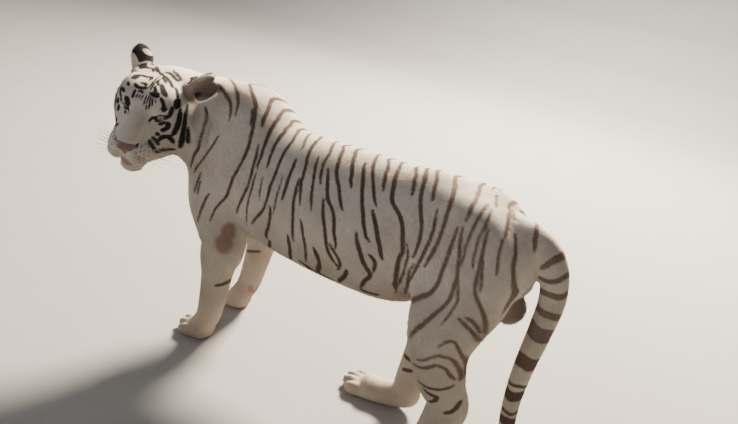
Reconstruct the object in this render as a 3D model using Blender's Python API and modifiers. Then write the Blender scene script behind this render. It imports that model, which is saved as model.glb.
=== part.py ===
"""A still, life-size standing tiger, its head turned back over the left shoulder.

The body is one sculpted form, built up from muscle lumps and tapering lengths of trunk, neck, leg and tail
that blend where they meet. It is then parted by thin cuts into head, neck, trunk, tail, legs and ears.

Metres, +Z up. The tiger walks towards -X, so its left side is -Y.
"""

import math

import bmesh
import bpy
import numpy as np
from mathutils import Matrix, Vector

# ---------------------------------------------------------------- driving sizes
GAP = 0.0003  # left on each side of a cut between two pieces
NUDGE = 0.0005  # for reading the form's slope
VOXEL = 0.0085  # fineness of the block that the form is carved from
TRIANGLES = 6000  # of the whole coat, before it is cut

HEAD_AT = Vector((-0.697, -0.203, 0.858))  # the middle of the skull
HEAD_YAW = 109.0  # degrees that the head is turned to the left
HEAD_DIP = 12.0  # degrees that the nose points down
HEAD_TILT = 8.0  # degrees that the left cheek leans down
HEAD_SIZE = 1.02  # of the head that the sizes below describe

EYE_RADIUS = 0.0195
EYE_PLACE = (0.083, 0.0555, 0.036)  # forward, out and up from the middle of the skull

LEFT, RIGHT = -1.0, 1.0  # the sign of Y on either side
SOLE = 0.002  # the level at which the soles are cut flat

WHITE_COAT = ((0.78, 0.74, 0.67), 0.75)
LOOKS = {  # colour and roughness of each kind of node
    "head": WHITE_COAT,
    "neck": WHITE_COAT,
    "trunk": WHITE_COAT,
    "tail": WHITE_COAT,
    "foreleg": WHITE_COAT,
    "hind": WHITE_COAT,
    "ear": ((0.46, 0.38, 0.35), 0.70),
    "eye": ((0.30, 0.45, 0.50), 0.12),
}


# ---------------------------------------------------------------- blending forms
def unit(v):
    v = np.array(v, float)
    return v / np.linalg.norm(v)


class Lump:
    """A rounded mass: an ellipsoid with a length along one direction, a breadth and a depth."""

    def __init__(self, centre, length, breadth, depth, along=(0, 0, 1), side=(0, 1, 0), blend=0.03):
        self.centre = np.array(centre, float)
        a = unit(np.array(along, float))
        s = np.array(side, float)
        s = unit(s - a * (s @ a))
        self.axes = np.array([a, s, np.cross(a, s)])
        self.radii = np.array([length, breadth, depth], float)
        self.blend = blend
        self.low = self.centre - self.radii.max()
        self.high = self.centre + self.radii.max()

    def distance(self, p):
        q = (p - self.centre) @ self.axes.T
        k0 = np.linalg.norm(q / self.radii, axis=1)
        k1 = np.linalg.norm(q / self.radii**2, axis=1)
        return k0 * (k0 - 1.0) / np.maximum(k1, 1e-9)

    def block(self, bm):
        place = Matrix.Translation(Vector(self.centre)) @ Matrix(self.axes.T.tolist()).to_4x4()
        size = Matrix.Diagonal((*self.radii, 1.0))
        bmesh.ops.create_icosphere(bm, subdivisions=3, radius=1.0, matrix=place @ size)


class Length:
    """A tapering length of body. Each station is (x, y, z, breadth, up, down): the middle, half the width across,
    and the depths above and below. `side` points across it; up is square to its run and to the side."""

    STEPS = 6  # between two stations

    def __init__(self, stations, side=(0, 1, 0), blend=0.05, round_ends=(1.0, 1.0)):
        rows = np.array(stations, float)
        ends = np.vstack([2 * rows[0] - rows[1], rows, 2 * rows[-1] - rows[-2]])
        t = np.linspace(0, 1, self.STEPS, endpoint=False)[:, None]
        runs = []
        for a, b, c, d in zip(ends, ends[1:], ends[2:], ends[3:]):
            bend = (2 * a - 5 * b + 4 * c - d) * t**2 + (3 * b - a - 3 * c + d) * t**3
            runs.append(0.5 * (2 * b + (c - a) * t + bend))
        fine = np.vstack([*runs, rows[-1]])
        self.line, self.sizes = fine[:, :3], np.maximum(fine[:, 3:], 0.003)
        run = np.gradient(self.line, axis=0)
        self.run = run / np.linalg.norm(run, axis=1)[:, None]
        across = np.array(side, float) - self.run * (self.run @ np.array(side, float))[:, None]
        self.across = across / np.linalg.norm(across, axis=1)[:, None]
        self.above = np.cross(self.run, self.across)
        self.blend = blend
        self.round_ends = round_ends
        reach = self.sizes.max()
        self.low, self.high = self.line.min(0) - reach, self.line.max(0) + reach

    def place(self, p):
        """Where each point is along the line (0 to 1), and how far across, above and past its end it is."""
        last = len(self.line) - 1
        nearest = np.argmin((self.line**2).sum(1) - 2 * p @ self.line.T, axis=1)
        ahead = np.einsum("ij,ij->i", p - self.line[nearest], self.run[nearest]) > 0
        index = np.clip(np.where(ahead, nearest, nearest - 1), 0, last - 1)
        step = self.line[index + 1] - self.line[index]
        share = np.einsum("ij,ij->i", p - self.line[index], step) / np.einsum("ij,ij->i", step, step)
        share = np.clip(share, 0.0, 1.0)[:, None]

        def between(values):
            return values[index] * (1 - share) + values[index + 1] * share

        off = p - between(self.line)
        across, above, past = (np.einsum("ij,ij->i", off, between(v)) for v in (self.across, self.above, self.run))
        return (index + share[:, 0]) / last, across, above, past, between(self.sizes)

    def distance(self, p):
        along, across, above, past, size = self.place(p)
        breadth = size[:, 0]
        depth = np.where(above > 0, size[:, 1], size[:, 2])
        end = np.where(along < 0.5, self.round_ends[0], self.round_ends[1]) * breadth
        q = np.stack([across / breadth, above / depth, past / end], 1)
        k0 = np.linalg.norm(q, axis=1)
        k1 = np.linalg.norm(q / np.stack([breadth, depth, end], 1), axis=1)
        return k0 * (k0 - 1.0) / np.maximum(k1, 1e-9)

    def ring(self, i, scale=1.0, past=0.0, corners=20):
        points = []
        for k in range(corners):
            angle = 2 * math.pi * k / corners
            depth = self.sizes[i, 1] if math.sin(angle) > 0 else self.sizes[i, 2]
            off = self.across[i] * self.sizes[i, 0] * math.cos(angle) + self.above[i] * depth * math.sin(angle)
            points.append(self.line[i] + off * scale + self.run[i] * past)
        return points

    def block(self, bm):
        """The same length as a closed skin of rings, which the form is carved from."""
        last = len(self.line) - 1
        dome = [(math.cos(a), math.sin(a)) for a in np.radians([75, 50, 25])]
        rings = [self.ring(0, s, -c * self.sizes[0, 0] * self.round_ends[0]) for s, c in dome]
        rings += [self.ring(i) for i in range(last + 1)]
        rings += [self.ring(last, s, c * self.sizes[last, 0] * self.round_ends[1]) for s, c in dome[::-1]]
        loops = [[bm.verts.new(p) for p in ring] for ring in rings]
        for a, b in zip(loops, loops[1:]):
            for k in range(len(a)):
                bm.faces.new((a[k - 1], a[k], b[k], b[k - 1]))
        bm.faces.new(loops[0][::-1])
        bm.faces.new(loops[-1])


def blended(a, b, width):
    """The nearer of two distances, with a fillet of this width where they cross."""
    h = np.maximum(width - np.abs(a - b), 0.0) / width
    return np.minimum(a, b) - h * h * width / 4


def field(forms, hollows, p):
    """How far outside the blended form each point is."""
    far = 0.10
    d = np.full(len(p), far)
    for form in forms:
        near = np.all((p > form.low - far) & (p < form.high + far), axis=1)
        if near.any():
            d[near] = blended(d[near], form.distance(p[near]), form.blend)
    for form in hollows:
        near = np.all((p > form.low - far) & (p < form.high + far), axis=1)
        if near.any():
            d[near] = -blended(-d[near], form.distance(p[near]), form.blend)
    return np.maximum(d, -p[:, 2])  # the floor cuts the soles flat


# ---------------------------------------------------------------- trunk
def trunk():
    """From the breast to the rump: the back's line, the ribs, the hanging belly and the tucked flank."""
    return Length(
        [  # x, y, z, half width, depth above, depth below
            (-0.555, 0.0, 0.660, 0.115, 0.150, 0.150),
            (-0.480, 0.0, 0.670, 0.150, 0.215, 0.200),
            (-0.390, 0.0, 0.670, 0.172, 0.222, 0.220),
            (-0.280, 0.0, 0.670, 0.186, 0.208, 0.222),
            (-0.120, 0.0, 0.665, 0.198, 0.216, 0.222),
            (0.040, 0.0, 0.665, 0.197, 0.224, 0.220),
            (0.160, 0.0, 0.675, 0.182, 0.220, 0.216),
            (0.270, 0.0, 0.700, 0.160, 0.212, 0.172),
            (0.380, 0.0, 0.715, 0.150, 0.184, 0.140),
            (0.470, 0.0, 0.725, 0.130, 0.148, 0.130),
            (0.530, 0.0, 0.735, 0.100, 0.112, 0.100),
        ],
        blend=0.04,
        round_ends=(0.8, 0.5),
    )


def back_muscles():
    """The shoulder blades, which stand above the spine, the upper arms, and the points of the hips."""
    forms = []
    for side in (LEFT, RIGHT):
        blade = (-0.22, side * -0.22, 1)
        forms.append(Lump((-0.435, side * 0.080, 0.790), 0.170, 0.060, 0.085, blade, blend=0.08))
        forms.append(Lump((-0.490, side * 0.120, 0.640), 0.140, 0.066, 0.105, (0.30, 0, 1), blend=0.06))
        forms.append(Lump((0.345, side * 0.072, 0.835), 0.085, 0.050, 0.045, (1, 0, 0), blend=0.06))
    return forms


# ---------------------------------------------------------------- neck and head
def head_frame():
    """The directions forward, left and up of the turned head, as the rows of a matrix."""
    yaw, dip, tilt = np.radians([HEAD_YAW, HEAD_DIP, HEAD_TILT])
    forward = np.array([-math.cos(yaw) * math.cos(dip), -math.sin(yaw) * math.cos(dip), -math.sin(dip)])
    level = unit(np.cross([0, 0, 1], forward))
    left = level * math.cos(tilt) - np.cross(forward, level) * math.sin(tilt)
    return np.array([forward, left, np.cross(forward, left)])


HEAD = head_frame()


def in_head(forward, out, up):
    return np.array(HEAD_AT) + HEAD_SIZE * (np.array([forward, out, up]) @ HEAD)


def head_way(forward, out, up):
    return np.array([forward, out, up], float) @ HEAD


def head_lump(place, sizes, along=(1, 0, 0), side=(0, 1, 0), blend=0.03):
    """A lump of the head: its place and its length, breadth and depth, all in the head's own directions."""
    length, breadth, depth = (HEAD_SIZE * s for s in sizes)
    return Lump(in_head(*place), length, breadth, depth, head_way(*along), head_way(*side), blend)


def head_length(stations, side=(0, 1, 0), blend=0.03, round_ends=(1.0, 1.0)):
    rows = [(*in_head(*row[:3]), *(HEAD_SIZE * s for s in row[3:])) for row in stations]
    return Length(rows, head_way(*side), blend, round_ends)


def neck():
    """A thick neck that leaves the shoulders forward and bends round to the left into the skull."""
    base = in_head(-0.085, 0.0, -0.015)
    return [
        Lump((-0.470, 0.000, 0.745), 0.170, 0.142, 0.195, (-1, -0.05, 0.25), blend=0.08),
        Lump((-0.565, -0.025, 0.790), 0.150, 0.132, 0.165, (-0.9, -0.35, 0.30), blend=0.08),
        Lump((-0.640, -0.070, 0.825), 0.130, 0.118, 0.140, (-0.7, -0.6, 0.25), blend=0.08),
        Lump(base, 0.110, 0.112, 0.115, HEAD[0], blend=0.07),
    ]


def skull():
    """The head without its ears: the crown, the broad nose, the brows, cheeks, whisker pads, jaw and chin."""
    forms = [
        head_lump((-0.040, 0, 0.014), (0.112, 0.104, 0.092), blend=0.05),
        head_lump((0.025, 0, 0.040), (0.072, 0.072, 0.060), (1, 0, -0.45), blend=0.04),
        head_length(
            [  # the flat bridge of the nose, from the brow down to the nose pad
                (0.030, 0, 0.020, 0.060, 0.060, 0.080),
                (0.080, 0, 0.010, 0.047, 0.048, 0.070),
                (0.120, 0, -0.004, 0.041, 0.040, 0.055),
                (0.155, 0, -0.022, 0.037, 0.033, 0.045),
                (0.180, 0, -0.035, 0.032, 0.027, 0.035),
            ],
            blend=0.03,
            round_ends=(1.0, 0.55),
        ),
        head_lump((0.138, 0, -0.122), (0.043, 0.039, 0.037), (1, 0, 0.20), blend=0.015),
        head_lump((0.120, 0, -0.092), (0.056, 0.050, 0.030), (1, 0, -0.10), blend=0.010),
        head_lump((0.194, 0, -0.034), (0.012, 0.027, 0.017), (1, 0, -0.5), blend=0.010),
    ]
    for out in (1, -1):
        forms += [
            head_lump((0.062, out * 0.048, 0.060), (0.038, 0.026, 0.016), (1, out * 0.5, -0.50), blend=0.03),
            head_lump((0.010, out * 0.078, 0.055), (0.062, 0.034, 0.042), (1, out * -0.3, 0), blend=0.04),
            head_lump((0.022, out * 0.080, 0.000), (0.080, 0.044, 0.060), (1, out * -0.30, -0.2), blend=0.035),
            head_lump((-0.020, out * 0.098, -0.055), (0.070, 0.046, 0.080), (1, out * -0.1, 0.25), blend=0.05),
            head_lump((0.148, out * 0.036, -0.066), (0.056, 0.038, 0.041), (1, out * -0.22, -0.10), blend=0.012),
            head_lump((0.085, out * 0.050, -0.050), (0.066, 0.038, 0.054), (1, out * -0.4, 0), blend=0.03),
            head_lump((0.050, out * 0.052, -0.090), (0.095, 0.036, 0.040), (1, out * -0.40, -0.10), blend=0.03),
        ]
    return forms


def eye_place(out):
    return in_head(EYE_PLACE[0], out * EYE_PLACE[1], EYE_PLACE[2])


def face_hollows():
    """What is carved out: the hollow in front of each eye, and the nostrils."""
    hollows = []
    for out in (1, -1):
        hollows += [
            head_lump((0.134, out * 0.080, 0.030), (0.040, 0.022, 0.024), (1, out * -0.45, -0.35), blend=0.03),
            head_lump((0.207, out * 0.017, -0.042), (0.009, 0.006, 0.006), blend=0.006),
        ]
    return hollows


EARS = (  # middle, the way it rises, the way its cup faces: the left stands out, the right is turned back
    ((-0.048, 0.113, 0.112), (-0.10, 0.60, 0.79), (0.25, 0.77, -0.58)),
    ((-0.070, -0.100, 0.104), (-0.08, -0.30, 0.95), (-0.25, -0.93, -0.30)),
)


def ears():
    """Two round ears, each a thick leaf with a cup pressed into it."""
    forms, cups = [], []
    for middle, rise, face in EARS:
        breadth = np.cross(rise, face)
        mouth = np.array(middle) + 0.026 * unit(face) + 0.004 * unit(rise)
        forms.append(head_lump(middle, (0.050, 0.042, 0.016), rise, breadth, blend=0.025))
        cups.append(head_lump(mouth, (0.042, 0.034, 0.026), rise, breadth, blend=0.012))
    return forms, cups


# ---------------------------------------------------------------- legs and tail
def toes(paw, heading, breadth=0.055, blend=0.012):
    """Four toes in a shallow arc in front of a paw, the middle two further forward."""
    heading = unit(np.array([*heading, 0.0]))
    across = np.array([-heading[1], heading[0], 0.0])
    forms = []
    for spread, reach in ((-0.76, 0.030), (-0.27, 0.052), (0.27, 0.052), (0.76, 0.030)):
        centre = np.array([paw[0], paw[1], 0.027]) + across * spread * breadth + heading * reach
        forms.append(Lump(centre, 0.036, 0.0175, 0.029, heading + across * spread * 0.25, across, blend=blend))
    return forms


def foreleg(side, paw, elbow):
    """Shoulder, elbow, wrist and paw. It bears weight, so forearm and foot stand nearly upright."""
    paw, elbow = np.array(paw), np.array(elbow)
    wrist = paw + (0.050, side * 0.006, 0.135)
    shin = elbow * 0.5 + wrist * 0.5
    rows = [  # x, y, z, half width, depth behind, depth in front
        (-0.500, side * 0.112, 0.690, 0.060, 0.095, 0.085),
        (*(elbow + (-0.050, side * -0.010, 0.110)), 0.072, 0.100, 0.095),
        (*elbow, 0.066, 0.094, 0.088),
        (*(elbow * 0.75 + wrist * 0.25 + (-0.006, 0, 0)), 0.060, 0.084, 0.068),
        (*shin, 0.053, 0.062, 0.055),
        (*wrist, 0.049, 0.047, 0.047),
        (*(paw + (0.024, 0, 0.066)), 0.052, 0.040, 0.050),
        (*(paw + (0.010, 0, 0.038)), 0.056, 0.044, 0.052),
    ]
    heading = (-1.0, side * 0.06)
    forms = [
        Length(rows, blend=0.05, round_ends=(1.0, 0.75)),
        Lump(paw + (-0.006, 0, 0.030), 0.057, 0.055, 0.030, (*heading, 0), blend=0.02),
    ]
    return forms + toes(paw, heading)


def hind_leg(side, hip, knee, hock, paw, ankle=1.0, heading=(-1.0, 0.0)):
    """Thigh, knee, hock and foot. The ankle's thickness is a share of the standing leg's."""
    hip, knee, hock, paw = (np.array(v, float) for v in (hip, knee, hock, paw))
    thigh = hip * 0.5 + knee * 0.5
    shank = knee * 0.5 + hock * 0.5
    foot = hock * 0.45 + paw * 0.55
    rows = [  # x, y, z, half width, depth behind, depth in front
        (*hip, 0.078, 0.125, 0.120),
        (*(thigh + (0.030, 0, 0)), 0.082, 0.120, 0.122),
        (*(knee + (0.068, side * -0.005, 0)), 0.070, 0.098, 0.096),
        (*(shank + (0.033, 0, 0)), 0.057, 0.080, 0.078),
        (*(hock + (0.002, 0, 0.050)), 0.048 * ankle, 0.066 * ankle, 0.066 * ankle),
        (*hock, 0.045 * ankle, 0.060 * ankle, 0.064 * ankle),
        (*(foot + (0.005, 0, 0.010)), 0.045, 0.044, 0.046),
        (*(paw + (0.015, 0, 0.040)), 0.049, 0.038, 0.044),
    ]
    forms = [
        Length(rows, blend=0.05, round_ends=(0.8, 0.7)),
        Lump(paw + (0.0, 0, 0.028), 0.056, 0.051, 0.028, (*heading, 0), blend=0.02),
    ]
    return forms + toes(paw, heading, breadth=0.050)


def haunch():
    """The breadth of the rump over both thighs, the seat behind them, and the male's scrotum between."""
    forms = [Lump((0.540, 0.0, 0.590), 0.052, 0.040, 0.040, (0.25, 0, 1), blend=0.03)]
    for side in (LEFT, RIGHT):
        forms.append(Lump((0.400, side * 0.090, 0.725), 0.140, 0.080, 0.125, (-0.3, 0, 1), blend=0.06))
        forms.append(Lump((0.482, side * 0.070, 0.655), 0.125, 0.055, 0.055, (-0.05, 0, 1), blend=0.05))
    return forms


def tail():
    """Thick at the root, hanging straight, with a lifted hook at its tip."""
    return Length(
        [  # x, y, z, half width, depth above, depth below
            (0.490, 0.000, 0.812, 0.050, 0.052, 0.055),
            (0.558, 0.000, 0.805, 0.044, 0.047, 0.047),
            (0.612, 0.000, 0.758, 0.041, 0.042, 0.042),
            (0.638, 0.000, 0.670, 0.038, 0.038, 0.039),
            (0.634, 0.000, 0.555, 0.035, 0.035, 0.035),
            (0.624, 0.000, 0.420, 0.031, 0.031, 0.031),
            (0.624, 0.000, 0.290, 0.027, 0.027, 0.027),
            (0.640, 0.000, 0.175, 0.025, 0.025, 0.025),
            (0.684, 0.000, 0.092, 0.023, 0.023, 0.023),
            (0.757, 0.000, 0.066, 0.020, 0.020, 0.020),
            (0.820, 0.000, 0.092, 0.015, 0.015, 0.015),
        ],
        blend=0.03,
        round_ends=(1.0, 1.2),
    )


def whole_form():
    ear_forms, ear_cups = ears()
    forms = [trunk(), *back_muscles(), *haunch(), *neck(), *skull(), *ear_forms, tail()]
    forms += foreleg(LEFT, paw=(-0.530, -0.120, 0), elbow=(-0.430, -0.145, 0.465))
    forms += foreleg(RIGHT, paw=(-0.570, 0.130, 0), elbow=(-0.462, 0.145, 0.465))
    forms += hind_leg(
        LEFT, (0.420, -0.100, 0.690), (0.335, -0.150, 0.470), (0.470, -0.130, 0.240), (0.397, -0.130, 0)
    )
    forms += hind_leg(
        RIGHT, (0.400, 0.100, 0.680), (0.258, 0.130, 0.430), (0.272, 0.062, 0.068), (0.126, 0.042, 0), ankle=0.82
    )
    return forms, face_hollows() + ear_cups


# ---------------------------------------------------------------- carving
def new_mesh_object(name, bm):
    mesh = bpy.data.meshes.new(name)
    bm.to_mesh(mesh)
    bm.free()
    thing = bpy.data.objects.new(name, mesh)
    bpy.context.scene.collection.objects.link(thing)
    return thing


def evaluated_mesh(thing):
    graph = bpy.context.evaluated_depsgraph_get()
    return bpy.data.meshes.new_from_object(thing.evaluated_get(graph))


def block_out(forms):
    """All the forms as overlapping solids, made one closed skin of small squares."""
    bm = bmesh.new()
    for form in forms:
        form.block(bm)
    block = new_mesh_object("block", bm)
    remesh = block.modifiers.new("one_skin", "REMESH")
    remesh.mode = "VOXEL"
    remesh.voxel_size = VOXEL
    mesh = evaluated_mesh(block)
    bpy.data.objects.remove(block)
    return mesh


def carve(mesh, forms, hollows, rounds=8):
    """Moves the skin onto the blended form, evening out its squares in between."""
    count = len(mesh.vertices)
    p = np.empty(count * 3)
    mesh.vertices.foreach_get("co", p)
    p = p.reshape(-1, 3)
    ends = np.empty(len(mesh.edges) * 2, int)
    mesh.edges.foreach_get("vertices", ends)
    a, b = ends[0::2], ends[1::2]
    degree = np.bincount(ends, minlength=count)[:, None]
    for step in range(rounds):
        near = np.stack([np.bincount(a, p[b, k], count) + np.bincount(b, p[a, k], count) for k in range(3)], 1)
        p = p + 0.5 * (near / degree - p)
        off = field(forms, hollows, p)
        slope = np.stack([field(forms, hollows, p + np.eye(3)[k] * NUDGE) - off for k in range(3)], 1) / NUDGE
        steep = np.maximum((slope**2).sum(1), 0.25)
        p = p - slope * (np.clip(off, -0.02, 0.02) / steep)[:, None]
    p[:, 2] = np.maximum(p[:, 2], 0.0)
    mesh.vertices.foreach_set("co", p.ravel())
    mesh.update()


def thinned(mesh, triangles):
    """Fewer, larger triangles; the face, the ears and the paws keep more of theirs than the flanks do."""
    body = bpy.data.objects.new("body", mesh)
    bpy.context.scene.collection.objects.link(body)
    group = body.vertex_groups.new(name="detail")
    for vertex in mesh.vertices:
        near_head = (vertex.co - HEAD_AT).length < 0.26
        near_floor = vertex.co.z < 0.11
        group.add([vertex.index], 0.9 if near_head else 0.5 if near_floor else 0.0, "REPLACE")
    thin = body.modifiers.new("fewer_triangles", "DECIMATE")
    thin.ratio = triangles / (2 * len(mesh.polygons))
    thin.use_collapse_triangulate = True
    thin.vertex_group = "detail"
    thin.invert_vertex_group = True
    thin.vertex_group_factor = 0.003
    result = evaluated_mesh(body)
    bpy.data.objects.remove(body)
    return result


# ---------------------------------------------------------------- cutting into nodes
def collection(name):
    group = bpy.data.collections.new(name)
    bpy.context.scene.collection.children.link(group)
    return group


def box(name, low, high, grow=0.0, frame=None, at=(0, 0, 0)):
    """A block between two corners, given along the axes of a frame placed at a point."""
    bm = bmesh.new()
    bmesh.ops.create_cube(bm, size=1.0)
    axes = [Vector(unit(axis)) for axis in (np.eye(3) if frame is None else frame)]
    for vertex in bm.verts:
        share = vertex.co + Vector((0.5, 0.5, 0.5))
        local = [low[k] - grow + share[k] * (high[k] - low[k] + 2 * grow) for k in range(3)]
        vertex.co = Vector(at) + sum((axes[k] * local[k] for k in range(3)), Vector())
    return cutter(name, bm)


def ball(name, centre, radius, rows):
    bm = bmesh.new()
    bmesh.ops.create_uvsphere(bm, u_segments=2 * rows, v_segments=rows, radius=radius)
    bmesh.ops.translate(bm, verts=bm.verts, vec=Vector(centre))
    return cutter(name, bm)


def cutter(name, bm):
    bmesh.ops.recalc_face_normals(bm, faces=bm.faces)
    thing = new_mesh_object(name, bm)
    bpy.context.scene.collection.objects.unlink(thing)
    CUTTERS.objects.link(thing)
    thing.hide_render = True
    thing.display_type = "WIRE"
    return thing


def combined(mesh, tool, operation):
    """The mesh cut by, or kept inside, one tool."""
    thing = bpy.data.objects.new("work", mesh)
    bpy.context.scene.collection.objects.link(thing)
    cut = thing.modifiers.new("cut", "BOOLEAN")
    cut.operation = operation
    cut.solver = "EXACT"
    cut.object = tool
    result = evaluated_mesh(thing)
    bpy.data.objects.remove(thing)
    return result


def split(rest, name, low, high, frame=None, at=(0, 0, 0)):
    """Takes one node out of the rest of the body, and leaves a gap all round it."""
    inside = box(name + "_inside", low, high, 0.0, frame, at)
    outside = box(name + "_outside", low, high, GAP, frame, at)
    NODES[name] = combined(rest, inside, "INTERSECT")
    return combined(rest, outside, "DIFFERENCE")


def cut_into_nodes(body):
    floor = box("below_the_soles", (-2, -2, -1), (2, 2, SOLE))
    rest = combined(body, floor, "DIFFERENCE")
    for name, out in (("left", 1), ("right", -1)):
        NODES["eye_" + name] = ball("eyeball_" + name, eye_place(out), EYE_RADIUS, 9).data.copy()
        rest = combined(rest, ball("socket_" + name, eye_place(out), EYE_RADIUS + GAP, 9), "DIFFERENCE")
    for name, (middle, rise, face) in zip(("left", "right"), EARS):
        frame = [head_way(*way) for way in (np.cross(face, rise), face, rise)]
        rest = split(rest, "ear_" + name, (-0.065, -0.050, -0.024), (0.065, 0.050, 0.100), frame, in_head(*middle))
    rest = split(rest, "head", (-0.120, -0.40, -0.30), (0.40, 0.168, 0.30), HEAD, HEAD_AT)
    collar, slant = (-0.530, 0, 0.800), ((0.94, 0, -0.34), (0, 1, 0), (0.34, 0, 0.94))
    rest = split(rest, "neck", (-0.40, -0.40, -0.28), (0.0, 0.40, 0.40), slant, collar)
    rest = split(rest, "tail", (0.585, -0.10, -0.05), (1.20, 0.10, 1.0))
    rest = split(rest, "foreleg_left", (-0.80, -0.35, -0.05), (-0.25, -0.040, 0.440))
    rest = split(rest, "foreleg_right", (-0.80, 0.040, -0.05), (-0.25, 0.35, 0.440))
    groin, slope = (0.220, 0, 0.460), ((0.915, 0, 0.403), (0, 1, 0), (-0.403, 0, 0.915))
    rest = split(rest, "hind_leg_left", (-0.16, -0.40, -0.80), (0.50, -GAP, 0.0), slope, groin)
    rest = split(rest, "hind_leg_right", (-0.40, -0.030, -0.80), (0.50, 0.40, 0.0), slope, groin)
    NODES["trunk"] = rest


# ---------------------------------------------------------------- nodes in the scene
def material(name, colour, roughness):
    made = bpy.data.materials.new(name)
    made.use_nodes = True
    shader = made.node_tree.nodes["Principled BSDF"]
    shader.inputs["Base Color"].default_value = (*colour, 1)
    shader.inputs["Roughness"].default_value = roughness
    shader.inputs["Metallic"].default_value = 0.0
    return made


def place_nodes():
    """Every node in the tiger's own collection, with the middle of its footprint on the floor at the origin."""
    corners = [vertex.co for mesh in NODES.values() for vertex in mesh.vertices]
    low, high = (Vector(pick(co[k] for co in corners) for k in range(3)) for pick in (min, max))
    middle = Vector(((low.x + high.x) / 2, (low.y + high.y) / 2, low.z))
    tiger = collection("white_tiger")
    for name, mesh in NODES.items():
        thing = bpy.data.objects.new(name, mesh)
        thing.data.name = name
        thing.data.transform(Matrix.Translation(-middle))
        tiger.objects.link(thing)
        colour, roughness = LOOKS[name.split("_")[0]]
        mesh.materials.clear()
        mesh.materials.append(material(name + "_surface", colour, roughness))
        mesh.shade_smooth()
        mesh.set_sharp_from_angle(angle=math.radians(50))
    for thing in CUTTERS.objects:
        thing.data.transform(Matrix.Translation(-middle))


def main():
    forms, hollows = whole_form()
    mesh = block_out(forms)
    carve(mesh, forms, hollows)
    cut_into_nodes(thinned(mesh, TRIANGLES))
    place_nodes()


for leftover in list(bpy.data.objects):
    bpy.data.objects.remove(leftover)
CUTTERS = collection("cutters")
NODES = {}
main()
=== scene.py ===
"""The looks of a life-size standing tiger with a white coat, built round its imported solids."""

import math

import bmesh
import bpy
import numpy as np
from mathutils import Matrix, Vector


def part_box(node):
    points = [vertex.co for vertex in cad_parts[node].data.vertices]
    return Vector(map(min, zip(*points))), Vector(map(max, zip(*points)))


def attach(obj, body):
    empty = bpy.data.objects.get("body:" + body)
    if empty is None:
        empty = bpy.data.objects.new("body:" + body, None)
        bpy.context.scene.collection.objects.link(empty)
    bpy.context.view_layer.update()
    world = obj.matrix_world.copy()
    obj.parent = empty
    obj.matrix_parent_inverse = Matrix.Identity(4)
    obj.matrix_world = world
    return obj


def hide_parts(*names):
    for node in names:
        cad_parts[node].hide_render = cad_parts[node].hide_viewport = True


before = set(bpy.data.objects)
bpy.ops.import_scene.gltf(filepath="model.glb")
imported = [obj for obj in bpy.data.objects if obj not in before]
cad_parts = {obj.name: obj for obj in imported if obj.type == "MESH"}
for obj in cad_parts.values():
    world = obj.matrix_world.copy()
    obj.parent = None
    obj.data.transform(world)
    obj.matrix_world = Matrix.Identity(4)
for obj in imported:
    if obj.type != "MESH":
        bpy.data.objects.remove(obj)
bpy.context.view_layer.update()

# ---------------------------------------------------------------- body
# The animal under its coat: muscle lumps and tapering lengths of trunk, neck, leg and tail that blend where
# they meet. They have the sizes of the solids, so that the skin carved from them lies just inside.
REACH = 0.10  # how far from a form its distance still counts


def unit(v):
    v = np.array(v, float)
    return v / np.linalg.norm(v)


def norms(rows):
    """The length of each row."""
    return np.linalg.norm(rows, axis=1)


def tube(bm, rings):
    """A closed skin over rings of points, with a flat cap at either end."""
    loops = [[bm.verts.new(p) for p in ring] for ring in rings]
    for one, other in zip(loops, loops[1:]):
        for k in range(len(one)):
            bm.faces.new((one[k - 1], one[k], other[k], other[k - 1]))
    bm.faces.new(loops[0][::-1])
    bm.faces.new(loops[-1])


class Lump:
    """A rounded mass: an ellipsoid with a length along one direction, a breadth and a depth."""

    def __init__(self, centre, length, breadth, depth, along=(0, 0, 1), side=(0, 1, 0), blend=0.03):
        self.centre = np.array(centre, float)
        run = unit(along)
        across = np.array(side, float)
        across = unit(across - run * (across @ run))
        self.axes = np.array([run, across, np.cross(run, across)])
        self.radii = np.array([length, breadth, depth], float)
        self.blend = blend
        self.low = self.centre - self.radii.max()
        self.high = self.centre + self.radii.max()

    def distance(self, p):
        q = (p - self.centre) @ self.axes.T
        share = norms(q / self.radii)
        return share * (share - 1.0) / np.maximum(norms(q / self.radii**2), 1e-9)

    def block(self, bm):
        place = Matrix.Translation(Vector(self.centre)) @ Matrix(self.axes.T.tolist()).to_4x4()
        size = Matrix.Diagonal((*self.radii, 1.0))
        bmesh.ops.create_icosphere(bm, subdivisions=3, radius=1.0, matrix=place @ size)


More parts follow.
